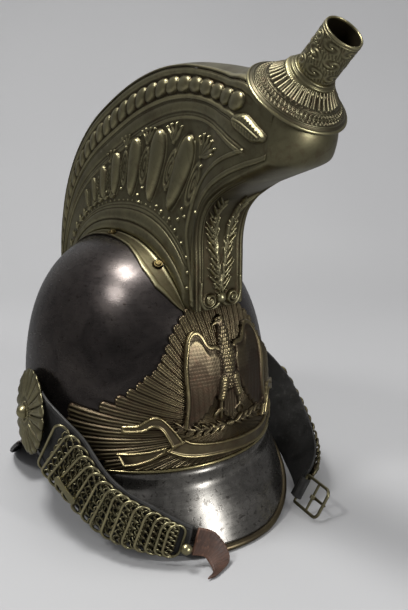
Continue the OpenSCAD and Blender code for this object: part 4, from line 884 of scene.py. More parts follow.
# %% The branches
def leaf(x, y, base, angle, length, width, height):
    c, s = math.cos(angle), math.sin(angle)
    u, v = (((x - base[0]) * c + (y - base[1]) * s) / length,
        (-(x - base[0]) * s + (y - base[1]) * c) / width)
    half = np.sin(np.pi * np.clip(u, 0, 1) ** 0.8)
    shape = np.where((u > 0) & (u < 1) & (np.abs(v) < half),
        1 - (np.abs(v) / np.maximum(half, 1e-3)) ** 2, -1)
    return np.where(shape > 0, height * np.sqrt(np.clip(shape, 0, 1)) + 0.35 * np.exp(-(v / 0.16) ** 2),
        -1.0)

for side in (-1, 1):
    stem = smooth_path([(side * 3, 37), (side * 16, 36.5), (side * 30, 38), (side * 44, 43)], 20)
    add_relief(np.where(line_distance(drawing_x, drawing_up, stem)[0] < 0.8, 1.9, -1))
    for i in range(12):
        base = stem[1 + int(i * 1.5)]
        lean = 0.62 if i % 2 else 0.20
        for turn, length in ((lean, 8.6), (-0.42 - 0.2 * (i % 2), 7.2)):
            angle = turn if side > 0 else math.pi - turn
            add_relief(leaf(drawing_x, drawing_up, base, angle, length, 1.75, 2.2 + 0.25 * (i % 3)))
knot = np.hypot(drawing_x / 4.2, (drawing_up - 36.6) / 2.6)
add_relief(np.where(knot < 1, 2.8 * round_top(knot) + 0.3 * np.cos(drawing_x * 3), -1))
print("branches: highest point", round(float(relief.max()), 2), "mm above the rays")

# %% Lay the figures over the rays
plate_height = plate_thick + np.where(relief > 0, relief + 0.25, -1.4)
base = on_plate(drawing_x, drawing_up, 0 * drawing_x)
normal = skull_outward(np.radians(drawing_x / degree_mm), brow_height + drawing_up)
keep = relief > 0
keep_face = keep[:-1, :-1] | keep[1:, :-1] | keep[:-1, 1:] | keep[1:, 1:]
low_line = brow_height + drawing_up < plate_foot(drawing_x / degree_mm) + 0.6
keep_face &= ~(low_line[:-1, :-1] | low_line[1:, 1:])
points = (base + normal * np.clip(plate_height, 0.1, None)[..., None]).reshape(-1, 3)
rows, cols = drawing_x.shape
faces = np.array(grid_faces(rows, cols))[keep_face.ravel()]
used = np.unique(faces)
renumber = np.zeros(rows * cols, int)
renumber[used] = np.arange(len(used))
worn = rubbed_from(np.where(keep, plate_height, plate_thick), 4, 1.7)
# The wing's feathers are painted darker and the figures' colour is lowered overall, as painted shade;
# the ribbon's field is coloured brighter
wing_painted_shade = 0.24 * wing_field * (plate_height < 4.4)
low_work = 0.13 * (1 - smooth_step(plate_height, 2.4, 3.1)) * ~ribbon_field
worn = np.clip(worn * 0.70 + 0.11 * np.clip(plate_height - 3.6, 0, 3) + 0.34 * ribbon_field - 0.03
    - wing_painted_shade + low_work, 0, 1)
make_mesh("plate_eagle_and_ribbon", points[used], renumber[faces].tolist(), plate_brass, "helmet",
    ("front_plate",), worn.ravel()[used])
print("eagle, branches and ribbon:", len(used), "points")

# %% [markdown]
# The crest is a hollow box of thin stamped sheets: two flat sides, a round front and a ridge. Its side
# is a fan of ribs from the foot to the outline, so a place on it is a rib number and a share of the
# rib's length. Bands that follow the outline are drawn in that fan, and bosses and leaves are drawn
# in the plain side view, where their real sizes are easy to read.

# %% The crest's outline
crest_sheet, crest_seat = 1.2, 0.3
crest_foot_y = np.array([101, 97, 90, 78, 62, 45, 26, 6, -14, -34, -54, -70, -82.0])
crest_outline = np.array([[109, 70], [113, 97], [113, 128], [108, 158], [97, 190], [79, 219], [54, 244],
    [24, 263], [-8, 278], [-40, 287], [-70, 290], [-97, 288.5], [-118, 285.5], [-129, 283.5],
    [-139, 283], [-148, 281.5], [-155, 278.5], [-160.5, 274.5], [-165, 271], [-169, 268],
    [-172, 265.5]])
crest_front_edge = np.array([[-93.4, 124], [-93.4, 138], [-93.4, 157], [-93.6, 176], [-98, 193],
    [-108, 206.5], [-124, 218], [-146, 228.5], [-168, 237]])
cup_place = np.array([0, -166, brow_height + 272.6])
cup_lean, cup_radius = math.radians(37), 34.0

def table_value(x, *pairs):
    return np.interp(x, [p[0] for p in pairs], [p[1] for p in pairs])

def foot_half_width(k):
    return np.where(k <= 12, 13 + 9 * np.clip(k / 12, 0, 1) ** 0.6, 22 + 6 * smooth_step(k, 14, 20.6))

def ridge_half_width(k):
    return 9 + 18 * smooth_step(k, 7.6, 16.0) + 0.2 * np.clip(k - 15, 0, 5)

def ridge_step(k):
    return table_value(k, (0, 0.6), (11, 0.6), (15, 0.3), (20, 0))

def outline_out(line, u, turn):
    d = along(line, np.minimum(len(line) - 1, u + 0.05)) - along(line, np.maximum(0, u - 0.05))
    d = unit_rows(d)
    return turn * np.stack([-d[..., 1], d[..., 0]], -1)

def crest_foot_edge(k):
    y = along(crest_foot_y, np.clip(k * 12 / 11.7, 0, 12))
    back = np.stack([y, skull_top(foot_half_width(k), y) - brow_height + 1.9], -1)
    front = along(crest_front_edge, np.clip((k - 12.3) * 8 / 7.7, 0, 8))
    turn = np.clip((k - 11.7) / 0.6, 0, 1)[..., None]
    return back * (1 - turn) + front * turn

# The ribs over the throat stand upright, so that none crosses its hollow
outline_ribs = np.array([[0, 0], [7, 7], [8, 7.95], [9, 8.75], [10, 9.4], [11, 9.9], [12, 10.25],
    [13, 10.5], [14, 10.8], [15, 11.25], [16, 12.1], [17, 13.5], [18, 15.3], [19, 17.5], [20, 20]])

def outline_of(k):
    total = 0
    for shift in np.linspace(-1.1, 1.1, 12):
        moved = k + shift
        past_ends = np.minimum(moved, 0) + 2.5 * np.maximum(moved - 20, 0)
        total = total + np.interp(moved, outline_ribs[:, 0], outline_ribs[:, 1]) + past_ends
    return np.clip(total / 12, 0, 20)

def crest_side_place(k, t):
    k, t = np.broadcast_arrays(np.asarray(k, float), np.asarray(t, float))
    u = outline_of(k)
    top = along(crest_outline, u) - ridge_step(u)[..., None] * outline_out(crest_outline, u, -1)
    place = crest_foot_edge(k) * (1 - t[..., None]) + top * t[..., None]
    width = foot_half_width(k) * (1 - t) + ridge_half_width(u) * t
    return width, place[..., 0], brow_height + place[..., 1]

rib, share = grid_of(np.linspace(0, 20, 661), np.linspace(0, 1, 231))
crest_width, crest_y, crest_z = crest_side_place(rib, share)
print("crest side:", rib.size, "points, from y", round(float(crest_y.min())), "to",
    round(float(crest_y.max())))

# %% [markdown]
# The side's panel is framed by mouldings and a rope of oval beads. Both follow the outline, so they
# are drawn in the fan of ribs: a moulding is a rounded strip at one share of each rib, and a bead is a
# leaning oval placed by the length run along the outline, so that the beads keep an even pitch.

# %% Mouldings of the crest's side
def moulding(place, centre, half, height):
    return height * round_top((place - centre) / half)

def share_at(line):
    _, foot_y, foot_z = crest_side_place(rib[:, 0], 0.0)
    _, top_y, top_z = crest_side_place(rib[:, 0], 1.0)
    shares = [0.5]
    for y, z, dy, dz in zip(foot_y, foot_z, top_y - foot_y, top_z - foot_z):
        off = dy * (line[:, 1] - z) - dz * (line[:, 0] - y)
        t = (dy * (line[:, 0] - y) + dz * (line[:, 1] - z)) / (dy * dy + dz * dz)
        hits = np.nonzero((off[:-1] * off[1:] <= 0) & (t[:-1] > 0.05) & (t[:-1] < 1))[0]
        if len(hits):
            j = hits[0]
            part = off[j] / (off[j] - off[j + 1])
            shares.append(float(t[j] * (1 - part) + t[j + 1] * part))
        else:
            shares.append(shares[-1])
    return np.array(shares[1:])[:, None]

panel_line = smooth_path([(105.5, 90), (105.5, 125), (105, 150), (102.5, 175), (94, 203), (81, 226),
    (64, 245.5), (43.5, 261), (11.3, 279.3), (-18.5, 295), (-48.6, 306), (-68.8, 310.2), (-80, 311.2),
    (-92, 310.8), (-104, 308.8), (-121, 303.3), (-132, 298), (-147, 292.5), (-158, 291), (-172, 291)],
    300)
panel_end = blurred(share_at(panel_line) + 0 * share, 5)
upper = (share - panel_end) / (1 - panel_end)
foot_fade = 1 - smooth_step(rib, 11.4, 12.0)
nose_fade = 1 - smooth_step(rib, 18.2, 19.2)
# Each moulding has a share of the rib for its middle, half a width and a height in millimetres
foot_mouldings = ((0.045, 0.040, 1.4), (0.138, 0.044, 1.5), (0.196, 0.010, 0.6), (0.222, 0.008, 0.4))
rim_mouldings = ((0.03, 0.035, 0.8), (0.095, 0.02, 0.5), (0.25, 0.105, 1.1), (0.372, 0.016, 0.6),
    (0.44, 0.045, 1.5), (0.93, 0.055, 1.0))
crest_relief = sum(moulding(share, *row) for row in foot_mouldings) * foot_fade
bands = sum(moulding(upper, *row) for row in rim_mouldings)
bands -= 0.5 * smooth_step(upper, 0.49, 0.52) * (1 - smooth_step(upper, 0.85, 0.88))
beyond = upper > -0.01
crest_relief += np.where(beyond, bands, 0) * nose_fade
front_line = smooth_path([(-91, 187), (-88, 203), (-84, 217), (-81, 232), (-83, 244), (-89, 259),
    (-100, 272), (-116, 284), (-131, 291), (-146, 295.5)], 60)
edge_line = smooth_path([(-90, 183), (-90, 205), (-89.5, 220), (-90.5, 233), (-94, 246), (-102, 260),
    (-114, 271), (-130, 280), (-148, 287), (-162, 291), (-170, 294)], 60)

print("mouldings: highest point", round(float(crest_relief.max()), 2), "mm")

# %% Rope of beads
bead_total = 31
outline_run = run_along(crest_outline)
bead_place = np.interp(outline_of(rib), np.arange(21), outline_run)
bead_first, bead_last = np.interp([0.35, 14.5], np.arange(21), outline_run)
for i in range(bead_total):
    q = i / (bead_total - 1)
    centre = bead_first + (bead_last - bead_first) * q * (0.86 + 0.14 * q)
    half = (bead_last - bead_first) * (0.86 + 0.28 * q) / (bead_total - 1) * 0.55
    v = (upper - 0.68) / 0.165
    u = (bead_place - centre) / half - 0.22 * v
    body = np.clip(1 - np.abs(u) ** 2.2 - np.abs(v) ** 2.3, 0, 1) ** 0.5
    swell = (0.85 + 0.20 * u) * (1.9 + 1.3 * q)
    crest_relief = np.where((body > 0) & beyond, np.maximum(crest_relief, -0.4 + (swell + 0.6) * body),
        crest_relief)
print("rope band:", bead_total, "beads")

# %% [markdown]
# Inside the frame stand tall gadroons, ovals between them, sprays of small leaves and beads. They keep
# their own round shapes whatever the ribs do, so they are drawn in the plain side view. Each one only
# touches the points near it, which keeps the fine grid quick to work on.

# %% Tools for the crest's ornament
def near(a, b, reach):
    lo, hi = np.minimum(a, b) - reach, np.maximum(a, b) + reach
    mask = (crest_y > lo[0]) & (crest_y < hi[0]) & (crest_z > lo[1]) & (crest_z < hi[1])
    return np.nonzero(mask)

def boss(place, radius, height, longer=(0.1, 0.1)):
    a, b = np.asarray(place, float), np.asarray(place, float) + longer
    spot = near(a, b, radius * 1.7 + 1)
    d, _ = capsule(crest_y[spot], crest_z[spot], a, b, radius, radius)
    value = crest_relief[spot]
    crest_relief[spot] = np.where(d < 1, np.maximum(value, height * np.clip(1 - d ** 2.4, 0, 1) ** 0.5),
        value)

def side_leaf(base, angle, length, width, height):
    base = np.asarray(base, float)
    tip = base + length * np.array([math.cos(angle), math.sin(angle)])
    spot = near(base, tip, width + 1)
    shape = leaf(crest_y[spot], crest_z[spot], base, angle, length, width, height)
    crest_relief[spot] = np.maximum(crest_relief[spot], shape)

def gadroon(top, low, wide, narrow, height):
    top, low = np.array(top, float), np.array(low, float)
    reach = np.linalg.norm(low - top)
    d = (low - top) / reach
    spot = near(top, low, wide * 1.5)
    y, z = crest_y[spot] - top[0], crest_z[spot] - top[1]
    s = (y * d[0] + z * d[1]) / reach
    half = ((wide + (narrow - wide) * smooth_step(s, 0.12, 1.15))
        * np.clip(1 - np.abs(2 * s - 1) ** 3.2, 0, 1) ** 0.5)
    away = np.abs(-y * d[1] + z * d[0]) / np.maximum(half, 0.05)
    swell = height * round_top(away) * np.minimum(1, half / narrow)
    value = np.where(away < 1, np.maximum(crest_relief[spot], swell), crest_relief[spot])
    border = 0.85 * np.exp(-(((away - 1) * half - 1.5) / 0.5) ** 2)
    crest_relief[spot] = value + np.where((s > 0.02) & (s < 0.98), border, 0)

def oval(top, low, half_width, height):
    top, low = np.array(top, float), np.array(low, float)
    centre, half = (top + low) / 2, np.linalg.norm(low - top) / 2
    d = (low - top) / (2 * half)
    spot = near(top, low, half_width * 1.5)
    y, z = crest_y[spot] - centre[0], crest_z[spot] - centre[1]
    e = np.hypot((y * d[0] + z * d[1]) / half, (-y * d[1] + z * d[0]) / half_width)
    rings = np.exp(-((e - 1) / 0.14) ** 2) + 0.8 * np.exp(-((e - 0.58) / 0.14) ** 2)
    crest_relief[spot] += 1.8 * height * (rings + 0.8 * round_top(e / 0.3))

def spray(base, tips):
    base = np.asarray(base, float)
    for tip in np.asarray(tips, float):
        reach = float(np.linalg.norm(tip - base))
        side_leaf(base, math.atan2(*(tip - base)[::-1]), reach, max(0.8, reach * 0.13), 1.1)
        boss(tip, 0.95, 1.9)
    boss(base, 1.4, 1.9)

print("ornament tools are ready")

# %% Gadroons, ovals, sprays and beads
for row in (((-84, 300), (-59, 246), 9.6, 4.5, 3.9), ((-47, 302), (-35, 249), 9.4, 4.3, 3.7),
        ((-16, 294), (-10, 250), 8.4, 3.9, 3.3), ((11, 281), (13, 248), 6.8, 3.3, 2.8),
        ((31, 269), (29, 243), 5.2, 2.6, 2.3), ((46, 258), (42, 239), 4.1, 2.1, 1.9),
        ((58, 247), (54, 233), 3.2, 1.7, 1.6)):
    gadroon(*row)
for row in (((-95, 282), (-80, 253), 5.0, 0.75), ((-65, 288), (-54, 262), 4.6, 0.75),
        ((-30, 287), (-24, 262), 4.2, 0.7), ((-1, 282), (1, 258), 3.6, 0.65),
        ((21, 269), (21, 250), 2.8, 0.6), ((38, 259), (36, 244), 2.3, 0.5)):
    oval(*row)
for base, tips in (((-97, 287),
        [(-95, 300), (-101, 302), (-107, 301), (-112, 298.5), (-117, 294), (-113, 290)]),
        ((-63, 294), [(-55, 304), (-60, 306), (-66, 307), (-72, 305)]),
        ((-30, 291), [(-23, 299), (-28, 301), (-34, 302), (-39, 302)]),
        ((-2, 286), [(4, 292), (-1, 294), (-6, 295)]), ((21, 273), [(25, 278), (20, 281), (15, 282)])):
    spray(base, tips)
for place in ((-98, 281), (-92, 249), (-55, 260), (-51, 244), (-61, 240), (-68, 233), (-75, 249),
        (-26, 258), (3, 254), (-78, 244), (-76, 225), (18, 247), (-45, 247), (-20, 252), (-83, 216),
        (-84, 205), (-84, 194), (-71, 241), (-22, 247), (33, 242), (24, 249)):
    boss(place, 1.2, 1.7)
for _, y, z in zip(*crest_side_place(np.linspace(2.2, 11.2, 34), np.full(34, 0.243))):
    boss((y, z), 0.85, 0.9, (0.1, 0.0))
for k in np.linspace(1.0, 6.6, 15):
    _, y, z = crest_side_place(np.array([k, k + 0.30]), np.array([0.275, 0.335]))
    rising = math.atan2(z[1] - z[0], y[1] - y[0])
    side_leaf((y[0], z[0]), rising + 0.5, 7.5, 1.7, 1.5)
    side_leaf((y[0], z[0]), rising - 0.6, 6.0, 1.4, 1.2)
print("panel: highest point", round(float(crest_relief.max()), 2), "mm")

# %% Leafy scroll and the borders by the throat
scroll = [(-135, 314), (-139, 317), (-144, 318), (-150, 317.5), (-155, 315), (-161, 311), (-166, 308),
    (-168.5, 305), (-166, 302), (-160, 301), (-155, 301.5), (-150, 303.5), (-145, 306), (-139, 309)]
scroll = smooth_path(scroll + scroll[:1], 80)
spot = near(np.array([-170, 298]), np.array([-116, 327]), 3)
edge, _ = line_distance(crest_y[spot], crest_z[spot], scroll)
inside = inside_outline(crest_y[spot], crest_z[spot], [tuple(p) for p in scroll])
spine = smooth_path([(-136, 315), (-145, 313), (-154, 309), (-163, 304.5)], 40)
off_spine, run_spine = line_distance(crest_y[spot], crest_z[spot], spine)
veins = (0.7 * np.abs(np.sin(0.85 * run_spine - 0.45 * off_spine)) ** 0.5
    * smooth_step(off_spine, 0.8, 2.0) + 1.0 * np.exp(-(off_spine / 0.9) ** 2))
scroll_height = rounded(edge, 2.6, 2.2) + veins * smooth_step(edge, 0.4, 2.2)
crest_relief[spot] = np.where(inside, np.maximum(crest_relief[spot], scroll_height), crest_relief[spot])
ground = (share > 0.24) & (upper < 0) & (rib < 11.5)
for line, wide, high in ((front_line, 1.5, 1.1), (edge_line, 1.9, 1.3)):
    d, _ = line_distance(crest_y, crest_z, line)
    crest_relief += np.where(d < wide, high * round_top(d / wide), 0)
matting = (0.07 * np.sin(crest_y * 4.1 + 2 * np.sin(crest_z * 1.3))
    * np.sin(crest_z * 3.7 + 2 * np.sin(crest_y * 1.1)))
crest_relief += np.where(ground, matting, 0)
print("crest ornament: highest point", round(float(crest_relief.max()), 2), "mm")

# %% [markdown]
# The box of the crest is closed, so nobody sees the back of its sheets. One skin with a turned-in
# edge is enough for them, and it halves the points. Each side of the box gets the same relief.

# %% Make the crest's sides
def border_of(rows, cols):
    index = np.arange(rows * cols).reshape(rows, cols)
    return np.concatenate([index[0], index[1:, -1], index[-1, -2::-1], index[-2:0:-1, 0]]).tolist()

def crest_skin(name, replaced, points, height, worn, direction):
    rows, cols = height.shape
    front = points + direction * height[..., None]
    index = border_of(rows, cols)
    rim = (points.reshape(-1, 3) - direction.reshape(-1, 3) * crest_sheet)[index]
    facing = faces_outward(front, direction)
    faces = grid_faces(rows, cols, 0, False, False, not facing)
    size, n = rows * cols, len(index)
    for i in range(n):
        quad = [index[i], index[(i + 1) % n], size + (i + 1) % n, size + i]
        faces.append(quad if not facing else quad[::-1])
    make_mesh(name, np.concatenate([front.reshape(-1, 3), rim]), faces, aged_brass, "helmet",
        (replaced,), np.concatenate([worn.ravel(), np.full(n, 0.3)]))

def two_scales(height):
    return height - blurred(height, 2), height - blurred(height, 9)

fine, broad = two_scales(crest_relief)
crest_worn = np.clip(0.45 + 0.62 * np.clip(fine, -0.45, 0.45) + 0.07 * broad, 0, 1)
for side, word in ((-1, "right"), (1, "left")):
    points = np.stack([side * crest_width, crest_y, crest_z], -1)
    direction = np.zeros_like(points)
    direction[..., 0] = side
    crest_skin(f"crest_side_stamped_{word}", f"crest_side_{word}", points, crest_relief, crest_worn,
        direction)
print("both crest sides are made")

# %% [markdown]
# The crest's front face sweeps up the throat and swells into the round nose that carries the plume
# cup. Two laurel sprays climb it from a ball between two volutes. The face is one grid again, and
# the leaves are drawn in distances across the face and along it.

# %% The shape of the crest's front
nose_half_width, seat_radius = 28, 29.3

def nose_edge(a):
    x = nose_half_width * np.sin(a)
    s = -np.sqrt(seat_radius ** 2 - x * x)
    return np.stack([x, -165.1 + s * math.cos(cup_lean), 270.8 + s * math.sin(cup_lean)], -1)

def throat(u, a):
    p, n = along(crest_front_edge, u), outline_out(crest_front_edge, u, 1)
    belly = table_value(u, (0, 0.5), (3, 1), (4, 1.5), (5, 3), (6, 6), (8, 9))
    h = (crest_seat + crest_sheet + belly * np.cos(a)
        - 3.5 * np.clip((np.abs(a) - math.pi / 2) / 0.24, 0, 1))
    return np.stack([foot_half_width(12 + u) * np.sin(a), p[..., 0] + h * n[..., 0],
        p[..., 1] + h * n[..., 1]], -1)

def front_face(u, a):
    u, a = np.broadcast_arrays(u, a)
    chin = np.stack([nose_half_width * np.sin(a), -168.4 - 13 * np.cos(a), 236 - 3 * np.cos(a)], -1)
    blend = (np.clip((u - 6) / 2, 0, 1) ** 2)[..., None]
    low = throat(np.minimum(u, 8), a) * (1 - blend) + chin * blend
    v = np.clip(u - 8, 0, 1)[..., None]
    high = chin * (1 - v) + nose_edge(a) * v
    high[..., 1] -= 3 * np.sin(np.pi * v[..., 0]) * np.cos(a)
    return np.where((u <= 8)[..., None], low, high) + [0, 0, brow_height]

face_u, face_a = grid_of(np.linspace(0, 9, 421), np.radians(np.linspace(-104, 104, 161)))
face_grid = front_face(face_u, face_a)
# The swelling under the cup is eased by many small averagings, as a hammer would round it
on_swelling = smooth_step(face_u, 6.4, 7.6) * (1 - smooth_step(face_u, 8.7, 8.97))
ease = (on_swelling * np.clip(np.cos(face_a), 0, 1) ** 0.5)[..., None]
for _ in range(220):
    eased = 0.5 * face_grid[1:-1] + 0.25 * (face_grid[:-2] + face_grid[2:])
    face_grid[1:-1] += ease[1:-1] * (eased - face_grid[1:-1])
face_s = grid_of(run_along(face_grid[:, 80]), np.zeros(161))[0]
face_x = face_grid[..., 0]
print("crest front:", face_x.size, "points,", round(float(face_s.max())), "mm along its middle")

# %% Laurel, volutes and ball of the crest's front
face_w = foot_half_width(12 + np.minimum(face_u, 8))
face_relief = np.zeros(face_x.shape)
from_edge = face_w - np.abs(face_x)
body_fade = 1 - smooth_step(face_u, 5.2, 7.0)
face_relief += (moulding(from_edge, 3.0, 1.3, 1.2) + moulding(from_edge, 5.6, 0.8, 0.6)) * body_fade

def face_add(height):
    global face_relief
    face_relief = np.maximum(face_relief, height)

def face_dome(distance, radius, height):
    face_add(np.where(distance < radius, height * round_top(distance / radius), -1))

leaf_luck = np.random.default_rng(5)
for side in (-1, 1):
    x = face_x * side
    stem = smooth_path([(0.8, 10), (3.0, 26), (6.0, 46), (8.4, 66), (9.6, 84)], 46)
    face_add(np.where(line_distance(x, face_s, stem)[0] < 0.6, 1.4, -1))
    for i in range(30):
        base = stem[min(45, 1 + int(i * 1.42))]
        lean = 1.32 + 0.0035 * i
        spread_out = (0.50 if i % 2 else -0.34) * leaf_luck.uniform(0.7, 1.25)
        length, width, height = (leaf_luck.uniform(*limits)
            for limits in ((9.5, 14.5), (1.0, 1.45), (1.3, 2.2)))
        face_add(leaf(x, face_s, base, lean - spread_out, length, width, height))
        if i % 3 == 0:
            berry = base + [leaf_luck.uniform(2.5, 4.5), leaf_luck.uniform(-1, 2)]
            face_add(1.9 * np.sqrt(np.clip(1 - ((x - berry[0]) ** 2 + (face_s - berry[1]) ** 2) / 0.9,
                0, 1)))
    spiral_r = np.hypot(x - 10.5, face_s - 6.5)
    spiral_a = np.arctan2(face_s - 6.5, x - 10.5)
    coil = 0.9 * np.cos(spiral_a - spiral_r * 2.2) * smooth_step(spiral_r, 0.8, 2.0)
    face_add(np.where(spiral_r < 5.4, 3.2 * round_top(spiral_r / 5.4) + coil, -1))
    scroll_line = smooth_path([(18.2, 20), (18.6, 9), (15.5, 1.8), (10, -0.5), (4.5, 1.2), (1.5, 4)],
        30)
    face_dome(line_distance(x, face_s, scroll_line)[0], 1.7, 2.2)
face_dome(np.hypot(face_x, face_s - 7.0), 4.4, 4.4)
face_relief += 0.06 * np.sin(face_x * 4.2 + 2 * np.sin(face_s)) * np.sin(face_s * 3.9) * body_fade
face_relief *= smooth_step(np.cos(face_a), 0.02, 0.22)
face_direction = outward(face_grid, (0, -60, 250))
fine, broad = two_scales(face_relief)
# Ridges lighter and hollows darker are wear; the low base keeps the throat darker, as painted shade,
# and the rise towards the nose is painted light
face_wear_and_light = np.clip(0.24 + 0.62 * np.clip(fine, -0.5, 0.5) + 0.10 * broad
    + 0.19 * smooth_step(face_u, 5.0, 7.0), 0, 1)
crest_skin("crest_front_stamped", "crest_front", face_grid, face_relief, face_wear_and_light, face_direction)
print("crest front's ornament: highest point", round(float(face_relief.max()), 2), "mm")

# %% [markdown]
# A plain ridge strip closes the box along its back, and a narrow turned-out foot is screwed to the
# skull on each side. Both are long strips, so each is a grid along the rib numbers.

# %% Ridge and feet of the crest
def under_seat(y):
    return 270.7 + math.tan(cup_lean) * (y + 165.1)

ridge_k, ridge_a = grid_of(np.linspace(0, 15, 300), np.linspace(-1, 1, 41))
p, n = along(crest_outline, ridge_k), outline_out(crest_outline, ridge_k, -1)
ridge_swell = table_value(ridge_k, (0, 1.6), (10, 1.8), (12, 3), (14, 6), (15, 7))
h = crest_seat - ridge_step(ridge_k) + crest_sheet + ridge_swell * (1 - ridge_a ** 2)
ridge_y = p[..., 0] + h * n[..., 0]
ridge_grid = np.stack([ridge_a * (ridge_half_width(ridge_k) + 0.4), ridge_y,
    brow_height + np.minimum(p[..., 1] + h * n[..., 1], under_seat(ridge_y))], -1)
ridge_height = moulding(np.abs(ridge_a), 0.90, 0.08, 0.45) - 0.1
pressed_sheet("crest_ridge_strip", ridge_grid, outward(ridge_grid, (0, 0, 200)), ridge_height,
    crest_sheet, aged_brass, "helmet", ("crest_ridge",),
    rubbed=np.clip(0.5 + ridge_height, 0, 1))

# Where the screws sit: a rib number and millimetres out from the crest's foot
screws = ((2.5, 4.0), (7.0, 4.0), (10.0, 1.84))
flange_spread = ((0, 1), (7, 1), (8.5, 1.25), (9.7, 1.85), (10.6, 1.7), (11.4, 0.9), (12, 0.15))

def flange_place(k, side, out, off):
    y = along(crest_foot_y, k)
    x = side * (foot_half_width(k) + out * table_value(k, *flange_spread))
    z = skull_top(x, y)
    angle = np.arctan2(x / skull_half_width, -y / skull_half_length)
    return np.stack([x, y, z], -1) + (0.35 + off)[..., None] * skull_outward(angle, z)

for side, word in ((-1, "right"), (1, "left")):
    k, out = grid_of(np.linspace(0, 12, 280), np.linspace(-1, 8, 30))
    grid = flange_place(k, side, out, np.full(k.shape, 1.1))
    height = (0.35 * moulding(out, 6.9, 0.9, 1.0) + 0.5 * moulding(out, 0.8, 0.7, 1.0)
        - 0.45 * smooth_step(out, 7.5, 8))
    worn = 0.22 + 0.75 * height
    for site, screw_out in screws:
        centre = flange_place(np.array(site), side, np.array(screw_out), np.array(1.1))
        d = np.linalg.norm(grid - centre, axis=-1)
        height = height - 0.9 * (1 - smooth_step(d, 3.1, 4.3))
        worn = worn - 0.5 * (1 - smooth_step(d, 3.4, 5.0))
    pressed_sheet(f"crest_foot_{word}", grid, outward(grid, (0, 0, 100)), height, 1.1, aged_brass,
        "helmet", (f"crest_flange_{word}",), rubbed=np.clip(worn, 0, 1))
print("ridge and feet are made")

# %% [markdown]
# The plume cup is a pressed bell that sits on the nose, with a plume tube standing in it. The cup
# and the tube are turned forms with embossed work, so each is a grid of rings: one axis runs around
# and the other runs along the profile. The tube is drawn as a closed wall, dark inside.

# %% Helpers for turned forms
def turned_place(origin, lean, around, radius, height):
    c, s = math.cos(lean), math.sin(lean)
    x, y = radius * np.cos(around), radius * np.sin(around)
    return np.stack([x + origin[0], y * c - height * s + origin[1], y * s + height * c + origin[2]], -1)

def profile_line(points, count):
    points = np.asarray(points, float)
    run = run_along(points)
    place = np.linspace(0, run[-1], count)
    return np.stack([np.interp(place, run, points[:, i]) for i in (0, 1)], -1), place

def turned_grid(line, run, sides):
    around = np.linspace(0, 2 * np.pi, sides + 1)[:-1]
    radius, turn = grid_of(line[:, 0], around)
    return radius, turn, grid_of(line[:, 1], around)[0], grid_of(run, around)[0]

print("turning helpers are ready")

# %% The plume cup
cup_height, cup_sheet, tube_bore = 17.0, 1.2, 11.4
cup_shape = np.array([[0, 1], [0.05, 0.985], [0.12, 0.95], [0.25, 0.86], [0.42, 0.74], [0.62, 0.62],
    [0.82, 0.52], [1, 0.45]])
cup_line, cup_run = profile_line(smooth_path([[cup_radius * r, cup_height * h] for h, r in cup_shape],
    90), 120)
grid_r, grid_t, grid_h, grid_s = turned_grid(cup_line, cup_run, 720)
cup_grid = turned_place(cup_place, cup_lean, grid_t, grid_r, grid_h - 0.9)
cup_normal = outward(np.concatenate([cup_grid, cup_grid[:, :1]], 1),
    tuple(cup_place - [0, 0, 30]))[:, :-1]
rim_band = moulding(grid_s, 1.2, 1.1, 0.7) + moulding(grid_s, 4.6, 0.55, 0.55)
wave = np.abs(((grid_t * 30 / np.pi) % 2) - 1)
leaf_band = smooth_step(grid_s, 5.6, 6.4) * (1 - smooth_step(grid_s, 11.6, 12.2))
leaf_work = 0.75 * np.sin(grid_t * 60 + 2.2 * np.sin(grid_s * 1.1)) * np.sin((grid_s - 5.6) * 1.55)
cup_dots = 0.9 * np.clip(1 - ((wave - 0.5) ** 2 * 22 + (grid_s - 9.0) ** 2 / 0.9), 0, 1)
flutes = np.abs(np.sin(grid_t * 18))
fluted = smooth_step(grid_s, 12.6, 14.6)
flute_work = 1.35 * flutes ** 0.7 * fluted * (1 - smooth_step(grid_s, cup_run[-1] - 1.2, cup_run[-1]))
cup_relief = (rim_band + leaf_band * (leaf_work * 0.55 + cup_dots) + flute_work
    + moulding(grid_s, 12.4, 0.45, 0.6) - 0.25)
cup_worn = np.clip(rubbed_from(cup_relief, 4, 1.5) * 0.72 + 0.10 * moulding(grid_s, 1.2, 1.4, 1.0) * 3
    - 0.05, 0, 1)
pressed_sheet("plume_cup_pressed", cup_grid, cup_normal, cup_relief, cup_sheet, cup_brass, "helmet",
    ("plume_cup",), True, rubbed=cup_worn)
print("plume cup:", cup_grid.shape[0] * cup_grid.shape[1], "points")

# %% [markdown]
# The plume tube stands in the cup and leans further forward. Its profile runs up the outside, over
# the lip and down the bore, so one turned grid makes the whole wall. Scrolls are waves about the
# middle of each cell of a chequered field, and the bore is kept dark.

# %% The plume tube
tube_lean = math.radians(45)
tube_base = cup_place + 9.2 * np.array([0, -math.sin(cup_lean), math.cos(cup_lean)])
tube_out = tube_bore + 1.2
tube_profile = [(0.1, -6.6), (tube_out, -6.6), (tube_out, 39.6), (tube_out + 0.15, 40.0),
    (tube_out + 0.2, 40.6), (tube_out, 41.1), (tube_out - 0.5, 41.35), (tube_bore + 0.25, 41.2),
    (tube_bore + 0.05, 40.7), (tube_bore, 40.0), (tube_bore, -4.5), (0.1, -4.5)]
tube_line, tube_run = profile_line(tube_profile, 560)
grid_r, grid_t, grid_h, _ = turned_grid(tube_line, tube_run, 360)
field_low, field_high, cell_height = 12.2, 39.4, 9.1
wall = (grid_r > tube_out - 0.05) & (grid_h > field_low) & (grid_h < field_high)
ax, ay = (grid_t / np.pi * 6.0) % 2 - 1, (grid_h - field_low) / cell_height
cell = ay % 1 * 2 - 1
shift = np.where((ay.astype(int) % 2) == 0, 0, 1)
ax = ((ax + 1 + shift) % 2) - 1
